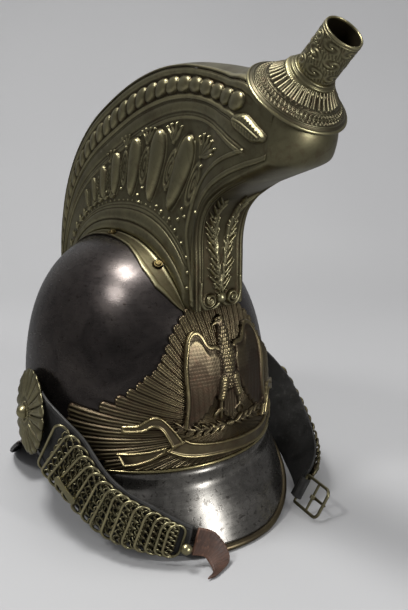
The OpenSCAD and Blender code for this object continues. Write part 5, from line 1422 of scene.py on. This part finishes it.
curl_r, curl_a = np.hypot(ax * 1.05, cell * 1.3), np.arctan2(cell, ax)
scrolls = (0.5 * np.cos(2 * curl_a + 7.5 * curl_r) * (1 - smooth_step(curl_r, 0.85, 1.15))
    + 0.6 * np.clip(1 - (curl_r / 0.20) ** 2, 0, 1))
leaves = 0.35 * np.sin(18 * ax + 5 * cell) * smooth_step(curl_r, 0.85, 1.1)
field_fade = smooth_step(grid_h, field_low, 13.2) * (1 - smooth_step(grid_h, 38.2, 39.2))
tube_relief = np.where(wall, (scrolls + leaves) * 0.55 * field_fade, 0)
tube_relief = tube_relief + np.where(grid_r > tube_out - 0.05, moulding(grid_h, 38.9, 0.5, 0.35), 0)
inside_dark = 0.10 * smooth_step(-grid_r, -tube_bore - 0.3, -tube_bore + 0.02)
tube_worn = np.clip(rubbed_from(tube_relief, 4, 1.0) * 0.85 + 0.05
    + 0.4 * moulding(grid_h, 40.6, 0.9, 1.0) + 2 * inside_dark, 0, 1)
tube_worn = np.where((grid_r < tube_bore + 0.1) & (grid_h < 40), 0.04, tube_worn)
radial = np.stack([np.cos(grid_t), np.sin(grid_t) * math.cos(tube_lean),
    np.sin(grid_t) * math.sin(tube_lean)], -1)
tube_grid = turned_place(tube_base, tube_lean, grid_t, grid_r, grid_h) + radial * tube_relief[..., None]
make_mesh("plume_tube_embossed", tube_grid.reshape(-1, 3), grid_faces(560, 360, 0, False, True),
    aged_brass, "helmet", ("plume_socket",), tube_worn.ravel())
print("plume tube:", grid_r.size, "points")

# %% The collar
collar_profile = smooth_path([(12.72, 2.0), (17.0, 2.0), (17.5, 3.2), (17.6, 5.4), (17.2, 6.6),
    (16.0, 7.5), (15.3, 7.9), (15.3, 9.4), (14.9, 9.9), (14.2, 10.2), (14.1, 11.3), (13.6, 11.9),
    (12.72, 12.0)], 90)
grid_r, grid_t, grid_h, _ = turned_grid(*profile_line(collar_profile, 100), 240)
reed = np.where((grid_r > 16.4) & (grid_h > 2.6) & (grid_h < 7.0), 0.22 * np.sin(grid_t * 72), 0)
grid_r = grid_r + reed - 0.1
make_mesh("plume_collar_rings",
    turned_place(tube_base, tube_lean, grid_t, grid_r, grid_h).reshape(-1, 3),
    grid_faces(100, 240, 0, False, True), aged_brass, "helmet", ("socket_collar",),
    np.clip(0.45 + 1.2 * reed + 0.25 * (grid_r - 14) / 3.5, 0, 1).ravel())
print("collar:", grid_r.size, "points")

# %% [markdown]
# Each rosette is a stamped disc of curved petals around a plain ball. The petals are swirled a little
# and end in a scalloped edge, so the height is a wave around the disc that grows towards the edge.
# A rosette is riveted to its strap, so it turns with it.

# %% Rosettes
stud_y, stud_z = 5.5, brow_height + 36.3
rosette_radius, rosette_x, petal_count = 33.0, 103.5, 20

def rosette_frame(side):
    turn, tip = side * math.radians(12), side * math.radians(82)
    about_z = np.array([[math.cos(turn), -math.sin(turn), 0], [math.sin(turn), math.cos(turn), 0],
        [0, 0, 1]])
    about_y = np.array([[math.cos(tip), 0, math.sin(tip)], [0, 1, 0],
        [-math.sin(tip), 0, math.cos(tip)]])
    return np.array([side * rosette_x, stud_y, stud_z]), about_z @ about_y

for side, word in ((-1, "right"), (1, "left")):
    centre, frame_axes = rosette_frame(side)
    radial_share, around = grid_of(np.linspace(0, 1, 110), np.linspace(0, 2 * np.pi, 601)[:-1])
    phase = around * petal_count + 1.1 * radial_share ** 2 * side
    lobe = np.sqrt(np.clip(np.abs(np.cos(phase / 2)), 0, 1))
    scallop = 1 - 0.055 * (1 - lobe) * smooth_step(radial_share, 0.80, 1.0)
    r = rosette_radius * radial_share * scallop * 0.995
    rise = np.interp(r, [0, 19.8, 33], [5.0, 4.0, 1.2])
    petal = 2.6 * (lobe - 0.35) * smooth_step(r, 9.0, 15.0) * (1 - 0.75 * smooth_step(r, 29.5, 33.0))
    inner_ring = smooth_step(r, 6.4, 8.0) * (1 - smooth_step(r, 12.0, 15.5))
    inner_leaf = 0.9 * np.sqrt(np.abs(np.sin(around * petal_count / 2))) * inner_ring
    ring = moulding(r, 7.4, 0.9, 0.7)
    vein = (-0.35 * np.exp(-(np.cos(phase / 2) ** 2 - 1) ** 2 / 0.0008) * smooth_step(r, 16, 20)
        * (1 - smooth_step(r, 27, 30)))
    dish = -0.9 * np.sin(np.pi * np.clip((r - 8) / 25, 0, 1))
    height = np.minimum(petal + inner_leaf + ring + vein, 3.2) + dish
    base = np.stack([r * np.cos(around), r * np.sin(around), rise], -1) @ frame_axes.T + centre
    normal = np.broadcast_to(frame_axes[:, 2], base.shape)
    worn = np.clip(rubbed_from(height, 5, 2.0) * 0.95 + 0.03, 0, 1)
    pressed_sheet(f"rosette_disc_{word}", base, normal, height, 1.2, aged_brass, f"strap_{word}", (),
        True, rubbed=worn)
    ball_radius, ball_rise = 5.5, 6.0
    down, turn = grid_of(np.linspace(0, np.pi * 0.62, 40), np.linspace(0, 2 * np.pi, 61)[:-1])
    ball = (np.stack([ball_radius * np.sin(down) * np.cos(turn),
        ball_radius * np.sin(down) * np.sin(turn), ball_rise + ball_radius * np.cos(down)], -1)
        @ frame_axes.T + centre)
    ball_worn = np.clip(0.62 + 0.3 * np.cos(down), 0, 1)
    make_mesh(f"rosette_ball_{word}", ball.reshape(-1, 3), grid_faces(40, 60, 0, False, True),
        aged_brass, f"strap_{word}", (f"rosette_{word}",), ball_worn.ravel())
    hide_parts(f"rosette_{word}")
print("two rosettes of", petal_count, "petals")

# %% [markdown]
# The chin straps are thick black leather, cut to a taper, with a piped border and a line of stitches.
# Each is a ribbon of cross-sections along a smooth line of stations: a place, half a width and a
# roll, which tips the upper edge outwards. The right strap hugs the skull, the left one turns over.

# %% The strap lines
right_stations = [[-101.6, -2, 92, 25, 0], [-102.4, -16, 84.5, 26, 0], [-101, -33, 74.6, 27.5, 0],
    [-97, -48, 62.5, 26, 0], [-93, -62, 50, 24, 0], [-87, -79, 39.5, 22, 0], [-79, -93.5, 33, 20, 0],
    [-67, -107, 26.5, 17, 0], [-58, -116, 22.5, 14.5, 0], [-50.5, -123, 20.4, 12.5, 0]]
left_stations = [[101.6, -2, 92, 26, 0], [102.8, -16, 83.5, 26.5, 1], [106.2, -31, 70, 25, 12],
    [110.5, -45, 54, 23, 25], [110.5, -59, 41.5, 21, 32], [107, -73, 32, 19.5, 36],
    [101, -85, 25.5, 18, 38], [93, -96, 21, 16, 36], [84, -105, 18, 14, 30],
    [77.6, -109.6, 17.2, 12, 26]]
leather_thick = 2.6

def strap_frame(stations, u, side):
    stations = np.array(stations, float)
    u = np.atleast_1d(np.asarray(u, float))
    last = len(stations) - 1
    line, roll = stations[:, :3], np.radians(along(stations[:, 4], u))[:, None]
    place, half = along(line, u), along(stations[:, 3], u)
    ahead = unit_rows(along(line, np.minimum(last, u + 0.05)) - along(line, np.maximum(0, u - 0.05)))
    up = unit_rows(np.array([0, 0, 1.0]) - ahead[:, 2:] * ahead)
    face = np.cross(up, ahead)
    face = face * np.where(face[:, :1] * side > 0, 1, -1)
    return place, half, up * np.cos(roll) + face * np.sin(roll), face * np.cos(roll) - up * np.sin(roll)

def strap_length(stations):
    points = along(np.array(stations, float)[:, :3], np.linspace(0, len(stations) - 1, 25))
    return float(np.linalg.norm(np.diff(points, axis=0), axis=1).sum())

print("straps:", round(strap_length(right_stations)), "and", round(strap_length(left_stations)),
    "mm long")

# %% The straps' leather
def strap_mesh(word, stations, side):
    rows = 270
    u = np.linspace(0, len(stations) - 1, rows)
    place, half, across, out = strap_frame(stations, u, side)
    run = run_along(place)
    edge = np.concatenate([[0, 0.08, 0.3, 0.6], np.linspace(0.9, 5.1, 15)])
    middle = np.linspace(-1, 1, 17)[1:-1]
    half = half[:, None]
    q = np.concatenate([half - edge, (half - 5.1) * middle[::-1], -(half - edge[::-1])], axis=1)
    inset = half - np.abs(q)
    round_off = 0.9 * (1 - np.sqrt(np.clip(1 - ((0.9 - inset) / 0.9).clip(0, 1) ** 2, 0, 1)))
    piping = moulding(inset, 1.9, 0.75, 0.55) - 0.22 * moulding(inset, 2.95, 0.4, 1.0)
    stitch = 0.32 * moulding(inset, 3.7, 0.5, 1.0) * (np.abs(((run / 2.6) % 1) - 0.5) < 0.34)[:, None]
    wander = (0.10 * np.sin(run * 0.9)[:, None] * np.sin(q * 0.31 + 1)
        + 0.06 * np.sin(run * 2.3 + 1)[:, None] * np.sin(q * 0.7))
    front = (leather_thick - 0.5 - round_off + piping * 0.85 + stitch
        + wander * smooth_step(inset, 3, 6) * 0.8)
    back = round_off * 0.6 + 0.05
    ends = smooth_step(run, 0, 1.0) * (1 - smooth_step(run, run[-1] - 1.0, run[-1]))
    front = front * (0.6 + 0.4 * ends)[:, None]
    loop_q = np.concatenate([q, q[:, ::-1]], axis=1)
    loop_off = np.concatenate([front, back[:, ::-1] + np.zeros_like(q)], axis=1)
    points = place[:, None] + loop_q[..., None] * across[:, None] + loop_off[..., None] * out[:, None]
    make_mesh(f"strap_leather_piped_{word}", points.reshape(-1, 3), capped_faces(rows, loop_q.shape[1]),
        black_leather, f"strap_{word}", (f"strap_leather_{word}",))
    return len(points)

print("strap leathers:", strap_mesh("right", right_stations, -1), "and",
    strap_mesh("left", left_stations, 1), "rows")

# %% [markdown]
# The chain is long wire links lying across the leather, each leaning on the next like roof tiles,
# with twisted wires under them, so that hardly any leather shows. Hand-closed links never sit quite
# alike, so each one leans and turns by a slightly different amount, drawn from a seeded random source.

# %% Chain links
wire, link_end, link_pitch, link_lean = 1.05, 6.5, 7.4, 21
luck = np.random.default_rng(11)

def link_path(half):
    turn = np.linspace(-math.pi / 2, math.pi / 2, 15)
    top = np.stack([link_end * -np.sin(turn), half - link_end + link_end * np.cos(turn)], -1)
    sides_up = np.linspace(top[-1], -top[0], 12)[1:-1]
    sides_down = np.linspace(-top[-1], top[0], 12)[1:-1]
    line = np.concatenate([top, sides_up, -top, sides_down])
    return np.concatenate([line, np.zeros((len(line), 1))], axis=1)

def chain(word, stations, side, first, last, clear):
    length, n = strap_length(stations), len(stations) - 1
    points, faces, worn = [], [], []
    total = 0
    # Each step has a raised link and two twisted wires under it
    # The link's lower leg and the wires under it are coloured darker, as painted shade
    count = int((length - first - last) // link_pitch) + 1
    for step in range(count):
        for kind, shift in (("raised", 0.0), ("twisted", 0.25), ("twisted", 0.75)):
            if step == count - 1 and shift > 0:
                continue
            station = n * (first + link_pitch * (step + shift)) / length
            place, half, across, out = (v[0] for v in strap_frame(stations, station, side))
            lean = -side * math.radians(link_lean - abs(luck.normal(0, 1.3)))
            twist = luck.normal(0, 0.014)
            lift = leather_thick + clear + wire + link_end * math.sin(math.radians(link_lean))
            if kind == "raised":
                path = link_path(half - 1 - abs(luck.normal(0, 0.25)))
                path[:, 2] -= 0.8 * (path[:, 1] / half) ** 4
                high, thick = 0.40 + 0.16 * side * path[:, 0] / link_end, wire
            else:
                turn = np.linspace(0, 2 * np.pi * 6, 97) + luck.uniform(0, 6)
                path = np.stack([2.5 * np.cos(turn), np.linspace(-half + 2.6, half - 2.6, 97),
                    1.5 * np.sin(turn)], -1)
                lean, lift, high, thick = 0.0, leather_thick + clear + 2.6, np.full(97, 0.20), 0.85
            ring, quads = rod_points(path, thick * 0.99, 10, kind == "raised")
            shape_normal = ring - np.repeat(path, 10, axis=0)
            for local in (ring, shape_normal):
                x, y, z = local.T
                x, y = (x * math.cos(twist) - y * math.sin(twist),
                    x * math.sin(twist) + y * math.cos(twist))
                x, z = x * math.cos(lean) + z * math.sin(lean), -x * math.sin(lean) + z * math.cos(lean)
                local[:] = np.stack([x, y, z], -1)
            axes = np.stack([np.cross(across, out), across, out])
            points.append(ring @ axes + place + lift * out)
            # Each wire's outward face is lighter and its face towards the leather darker, as wear and
            # painted light
            outward_wear_and_light = 0.30 * shape_normal[:, 2] / thick
            worn.append(np.clip(np.repeat(high, 10) + outward_wear_and_light + 0.05 * luck.normal(), 0, 1))
            faces += [[i + total for i in face] for face in quads]
            total += len(ring)
    return make_mesh(f"chain_links_{word}", np.concatenate(points), faces, aged_brass, f"strap_{word}",
        (f"chain_rings_{word}",), np.concatenate(worn))

right_chain = chain("right", right_stations, -1, 34, 14, 0.3)
left_chain = chain("left", left_stations, 1, 34, 8, 1.0)
print("chain wires:", len(right_chain.data.vertices), "and", len(left_chain.data.vertices), "points")

# %% [markdown]
# The right strap ends in a brown leather tongue, with a domed stud beside it and a small bar across
# two links. Turned bits come from a profile spun about an axis, and bars and straps from a loop of
# points carried along a line.

# %% Helpers for turned bits and carried loops
def spun(name, profile, origin, axes, material, body, replaced, worn, count=64, sides=72):
    radius, turn, height, _ = turned_grid(*profile_line(profile, count), sides)
    local = np.stack([radius * np.cos(turn), radius * np.sin(turn), height], -1)
    points = (local @ np.asarray(axes, float) + np.asarray(origin, float)).reshape(-1, 3)
    make_mesh(name, points, grid_faces(count, sides, 0, False, True), material, body, replaced,
        np.full(count * sides, worn))

def carried(name, loops, material, body, replaced, worn=None):
    loops = np.asarray(loops, float)
    make_mesh(name, loops.reshape(-1, 3), capped_faces(*loops.shape[:2]), material, body, replaced,
        worn)

def strap_spot(stations, u, side, shift):
    place, half, across, out = (v[0] for v in strap_frame(stations, u, side))
    return place + shift * across, np.stack([np.cross(across, out), across, out])

print("helpers for small bits are ready")

# %% Stud and link bar
spot, axes = strap_spot(right_stations, 8.75, -1, -3)
spun("chain_stud_turned", [(0.02, 11.8), (1.6, 11.5), (3.1, 10.5), (4.1, 8.9), (4.4, 7.6), (4.2, 7.2),
    (2.2, 7.0), (1.2, 6.8), (1.2, -0.6), (0.02, -0.6)], spot, axes, aged_brass, "strap_right",
    ("chain_stud",), 0.78)
spot, axes = strap_spot(right_stations, 3.4, -1, -12)
bar_half_length, bar_height_on_strap = 12, 9.66 + 0.3

def squared(v):
    return np.sign(v) * np.abs(v) ** 0.55

turn = np.linspace(0, 2 * np.pi, 33)[:-1]
loops = []
for t in np.linspace(-1, 1, 61):
    rounded_end = math.sqrt(max(0.0, 1 - max(0.0, (abs(t) - 0.80) / 0.20) ** 2))
    half = 3 * rounded_end * (1 - 0.22 * math.exp(-(t / 0.3) ** 2)) + 0.05
    top = 2.0 - 0.5 * abs(t) ** 6
    loops.append(np.stack([np.full(32, bar_half_length * t), half * squared(np.cos(turn)),
        bar_height_on_strap + top * (0.5 + 0.5 * squared(np.sin(turn)))], -1) @ axes + spot)
carried("chain_link_bar_filed", loops, aged_brass, "strap_right", ("chain_link_bar",),
    np.full(61 * 32, 0.62))
print("stud and link bar are made")

# %% [markdown]
# The tongue is a limp bit of brown leather that folds forward at the strap's end. Its two edges were
# measured, and a thin loop is carried between them, with shaved edges and a pressed line.

# %% The tongue
tongue_edges = np.array([[[-45, -127.4, 30], [-51.5, -127, 10]],
    [[-34, -131.5, 24], [-44.5, -131.5, 8]], [[-27.5, -137, 12], [-43.5, -137, 5.6]],
    [[-30, -142, 4.2], [-46, -143, 3.6]], [[-46, -147, 3.2], [-54, -146, 3.2]]], float)
tongue_lift = np.array([[0, 2, 0], [0, 2, 0], [0, 1.6, -1.2], [0, 0.6, -2], [0, 0, -2]], float)
steps = np.linspace(0, 4, 120)
upper_line, lower_line, lifts = (along(v, steps)
    for v in (tongue_edges[:, 0], tongue_edges[:, 1], tongue_lift))
loops = []
for i, (a, b, lift) in enumerate(zip(upper_line, lower_line, lifts)):
    pinch = 1 - 0.16 * (1 - math.sqrt(max(0.0, 1 - max(0.0, (i - 104) / 15.0) ** 2)))
    s = np.concatenate([np.linspace(-1, 1, 31), np.linspace(1, -1, 31)])
    sheet_side = np.concatenate([np.zeros(31), np.ones(31)])
    inset = (1 - np.abs(s)) * np.linalg.norm(b - a) / 2
    shave = 0.30 * (1 - smooth_step(inset, 0, 1.1))
    crease = 0.05 * np.sin(i * 0.9 + s * 3) + 0.10 * np.exp(-((inset - 2.2) / 0.35) ** 2)
    depth = np.where(sheet_side > 0, 1 - shave - crease, shave + crease)
    mid, arm = (a + b) / 2, (b - a) / 2 * pinch
    loops.append(mid + s[:, None] * arm + depth[:, None] * lift)
carried("strap_tongue_shaped", loops, brown_leather, "strap_right", ("strap_tongue",))
print("tongue:", len(loops), "loops")

# %% [markdown]
# The left strap ends in a leather loop that holds a plain wire buckle. The frame is one bent wire
# with rounded corners. The prong is a small tapered tongue that wraps the middle bar and rests on
# the far side.

# %% Buckle, prong and loop
buckle_at = np.array([71.5, -115.5, 14.6])
buckle_x = unit_rows(np.array([0.51, -0.11, 0.85]))
buckle_y = np.array([-8.5, -30.4, -1.2])
buckle_y = unit_rows(buckle_y - (buckle_y @ buckle_x) * buckle_x)
buckle_axes = np.stack([buckle_x, buckle_y, np.cross(buckle_x, buckle_y)])

def buckle_wire(name, path, radius, body, replaced, worn, closed=False):
    points, faces = rod_points(path, radius, 14, closed)
    shade = np.clip(worn + 0.3 * points[:, 2] / np.max(radius) / 2, 0, 1)
    make_mesh(name, points @ buckle_axes + buckle_at, faces, aged_brass, body, replaced,
        shade)

frame_half, frame_reach, corner, frame_path = 12.2, 31.4, 5.0, []
for cx, cy, start in ((frame_half - corner, frame_reach - corner, 0),
        (-frame_half + corner, frame_reach - corner, 90)):
    for a in np.radians(np.linspace(start, start + 90, 12)):
        frame_path.append((cx + corner * math.cos(a), cy + corner * math.sin(a), 0))
frame_path += [(-frame_half, y, 0) for y in np.linspace(24, 1.2, 10)] + [(-11.9, 0.3, 0), (-11.0, 0, 0)]
frame_path += [(x, 0, 0) for x in np.linspace(-9.5, 9.5, 12)] + [(11.0, 0, 0), (11.9, 0.3, 0)]
frame_path += [(frame_half, y, 0) for y in np.linspace(1.2, 24, 10)]
on_bar = np.array([1.1 if abs(p[1]) < 0.2 else 1.3 for p in frame_path])
buckle_wire("buckle_frame_bent", np.array(frame_path), on_bar, "buckle", ("buckle_frame",), 0.55, True)
bar_line = np.stack([np.linspace(-frame_half, frame_half, 20), np.full(20, 17.0), np.zeros(20)], -1)
buckle_wire("buckle_middle_bar", bar_line, np.full(20, 1.08), "buckle", ("buckle_frame",), 0.5)
print("buckle frame:", len(frame_path), "places along the wire")

# %% Prong, bush and loop
prong_path = np.stack([np.zeros(60), np.linspace(18.0, 32.6, 60),
    1.85 - 0.20 * np.sin(np.linspace(0, math.pi, 60))], -1)
taper = np.interp(np.linspace(0, 1, 60), [0, 0.75, 0.94, 1], [1.35, 1.1, 0.9, 0.25])
prong_points, prong_faces = rod_points(prong_path, taper, 14)
prong_points[:, 2] = 1.85 + (prong_points[:, 2] - 1.85) * 0.42
# The prong is coloured lighter on its upper side and darker underneath, as painted light and painted
# shade
make_mesh("buckle_prong_forged", prong_points @ buckle_axes + buckle_at, prong_faces, aged_brass,
    "prong", ("buckle_prong",), np.clip(0.5 + 0.5 * (prong_points[:, 2] - 1.8), 0, 1))
side_axes = np.stack([buckle_axes[1], buckle_axes[2], buckle_axes[0]])
middle_at = buckle_at + 17 * buckle_axes[1]
spun("buckle_prong_eye", [(1.17, -1.5), (2.1, -1.5), (2.3, -1.2), (2.3, 1.2), (2.1, 1.5), (1.17, 1.5),
    (1.17, -1.5)], middle_at, side_axes, aged_brass, "prong", ("buckle_prong",), 0.55)
spun("buckle_bush_turned", [(1.17, -8.4), (1.9, -8.5), (2.0, -8.3), (2.0, 8.3), (1.9, 8.5), (1.17, 8.4),
    (1.17, -8.4)], buckle_at, side_axes, aged_brass, "strap_left", ("buckle_bush",), 0.4)
loop_radius = 4.02
fold = [(loop_radius * math.cos(a), loop_radius * math.sin(a))
    for a in np.radians(np.linspace(158, -158, 50))]
loop_shape = np.array([(-7.0, 1.3), (-5.6, 1.3), (-4.4, 1.4)] + fold
    + [(-4.4, -1.4), (-5.6, -1.3), (-7.0, -1.3)])
loops = []
for x in np.concatenate([[-8.5, -8.35, -8.0], np.linspace(-7.4, 7.4, 25), [8.0, 8.35, 8.5]]):
    trim = 1 - 0.07 * smooth_step(abs(x), 7.9, 8.5) + 0.010 * math.sin(x * 2.6)
    groove = 1 - 0.03 * math.exp(-((abs(x) - 6.4) / 0.35) ** 2)
    shape = loop_shape * [1, trim * groove]
    loops.append(np.stack([np.full(len(shape), x), shape[:, 0], shape[:, 1]], -1) @ buckle_axes
        + buckle_at)
carried("buckle_loop_folded", loops, black_leather, "strap_left", ("buckle_loop",))
print("prong, bush and loop are made")

# %% [markdown]
# Inside, a leather sweatband lines the rim and eight tongues rise from it to a laced cord. They are
# sheets that follow the inside of the skull at a small distance, with turned edges and stitches.

# %% The sweatband
band_low, band_tall, band_outer = 58.0, 26.0, 1.9
band_rise, band_turn = grid_of(np.linspace(0, 1, 40), np.linspace(0, 2 * np.pi, 481)[:-1])
band_z = band_low + band_tall * band_rise
band_r = skull_half_width * skull_radius(band_z) - band_outer - 0.15
band_grid = np.stack([band_r * np.sin(band_turn),
    -band_r * np.cos(band_turn) * skull_half_length / skull_half_width, band_z], -1)
band_in = -np.stack([np.sin(band_turn), -np.cos(band_turn), 0 * band_turn], -1)
stitches = (0.35 * moulding(band_rise * band_tall, 3.0, 0.6, 1.0)
    * (np.abs((band_turn * 120 / np.pi) % 1 - 0.5) < 0.33))
puckers = 0.10 * np.sin(band_turn * 90) * smooth_step(band_rise, 0.75, 1.0)
folded = 0.25 * (1 - smooth_step(band_rise * band_tall, 4.4, 5.0))
band_height = 1.15 + stitches * 0.5 + puckers + folded * 0.3 - 0.3
pressed_sheet("sweatband_sewn", band_grid, band_in, band_height, 0.0, liner_leather, "helmet",
    ("sweatband",), True)
print("sweatband:", band_height.size, "points")

# %% The crown tongues
tongue_reach, tongue_foot, tongue_rise, liner_clear = 74, 78, 96, 4.4

def liner_place(side, share, off):
    a = np.radians(tongue_reach * share)
    n = np.stack([np.cos(a) * np.sin(side), -np.cos(a) * np.cos(side), np.sin(a)], -1)
    reach_x, reach_y = skull_half_width - liner_clear, skull_half_length - liner_clear
    place = np.stack([reach_x * np.cos(a) * np.sin(side), -reach_y * np.cos(a) * np.cos(side),
        tongue_foot + tongue_rise * np.sin(a)], -1)
    return place - np.asarray(off)[..., None] * n, -n

points, faces, total = [], [], 0
for i in range(8):
    side = math.radians(45 * (i + 0.5))
    share, e = grid_of(np.linspace(0, 1, 90), np.linspace(-1, 1, 31))
    half = np.radians(np.interp(share, [0, 0.12, 0.4, 0.7, 1], [11, 10.45, 7.7, 4.95, 2.75]))
    tip = np.sqrt(np.clip(1 - ((share - 0.97) / 0.03).clip(0, 1) ** 2, 0.06, 1))
    base, normal = liner_place(side + e * half * tip, share, np.full(e.shape, 0.1))
    edge = 0.30 * smooth_step(np.abs(e), 0.80, 0.86) - 0.35 * smooth_step(np.abs(e), 0.94, 1.0)
    inner = base + normal * (1.1 + edge[..., None] + 0.06 * np.sin(share * 60)[..., None])
    block = np.concatenate([inner.reshape(-1, 3), base.reshape(-1, 3)])
    rows, cols = e.shape
    size = rows * cols
    faces += grid_faces(rows, cols, total) + grid_faces(rows, cols, size + total, flip=True)
    rim = [corner + total for corner in border_of(rows, cols)]
    faces += [[after, here, here + size, after + size] for here, after in zip(rim, rim[1:] + rim[:1])]
    points.append(block)
    total += 2 * size
make_mesh("crown_tongues_cut", np.concatenate(points), faces, liner_leather, "helmet",
    ("crown_tongues",))
print("crown tongues:", total, "points")

# %% The crown cord
strand_radius = 0.62
cord_turn = math.radians(tongue_reach * 0.93)
cord_ring = (skull_half_width / 2 + skull_half_length / 2 - liner_clear) * math.cos(cord_turn)
cord_level = tongue_foot + tongue_rise * math.sin(cord_turn) + 1.3 + 0.9
strands, faces, total = [], [], 0
for strand in range(3):
    t = np.linspace(0, 2 * np.pi, 361)[:-1]
    twist = t * 42 + strand * 2 * math.pi / 3
    radius = cord_ring + strand_radius * np.cos(twist)
    path = np.stack([radius * np.cos(t), radius * np.sin(t),
        cord_level + strand_radius * np.sin(twist)], -1)
    ring, quads = rod_points(path, strand_radius, 8, True)
    strands.append(ring)
    faces += (np.array(quads) + total).tolist()
    total += len(ring)
make_mesh("crown_cord_twisted", np.concatenate(strands), faces, liner_leather, "helmet",
    ("crown_cord",))
print("crown cord:", total, "points")

# %% [markdown]
# The small fastenings have the right shape already: studs, rivets, screws, nuts and plates keep their
# solids. They only get the brass or steel recipe in place of their flat colours.

# %% Finish the small solids
worn_brass = brass_material("worn_brass", (0.045, 0.026, 0.013), (0.20, 0.155, 0.068),
    (0.55, 0.44, 0.20), (0.30, 0.50), with_relief=False)
dressed = set()
for piece in bpy.data.objects:
    if piece.type == "MESH" and piece.name in frame["nodes"]:
        steel = any(word in piece.name for word in ("skull", "visor", "neck_guard"))
        brassy = any(word in piece.name for word in ("rivet", "edging"))
        chosen = visor_steel if steel and not brassy else worn_brass
        for slot in piece.material_slots:
            slot.material = chosen
        dressed.add(piece.name)
print("solids with a new finish:", len(dressed))

# %% [markdown]
# Last, the drawn model's size is printed.

# %% Finish
low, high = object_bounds()
print("drawn from", [round(v, 4) for v in low], "to", [round(v, 4) for v in high])
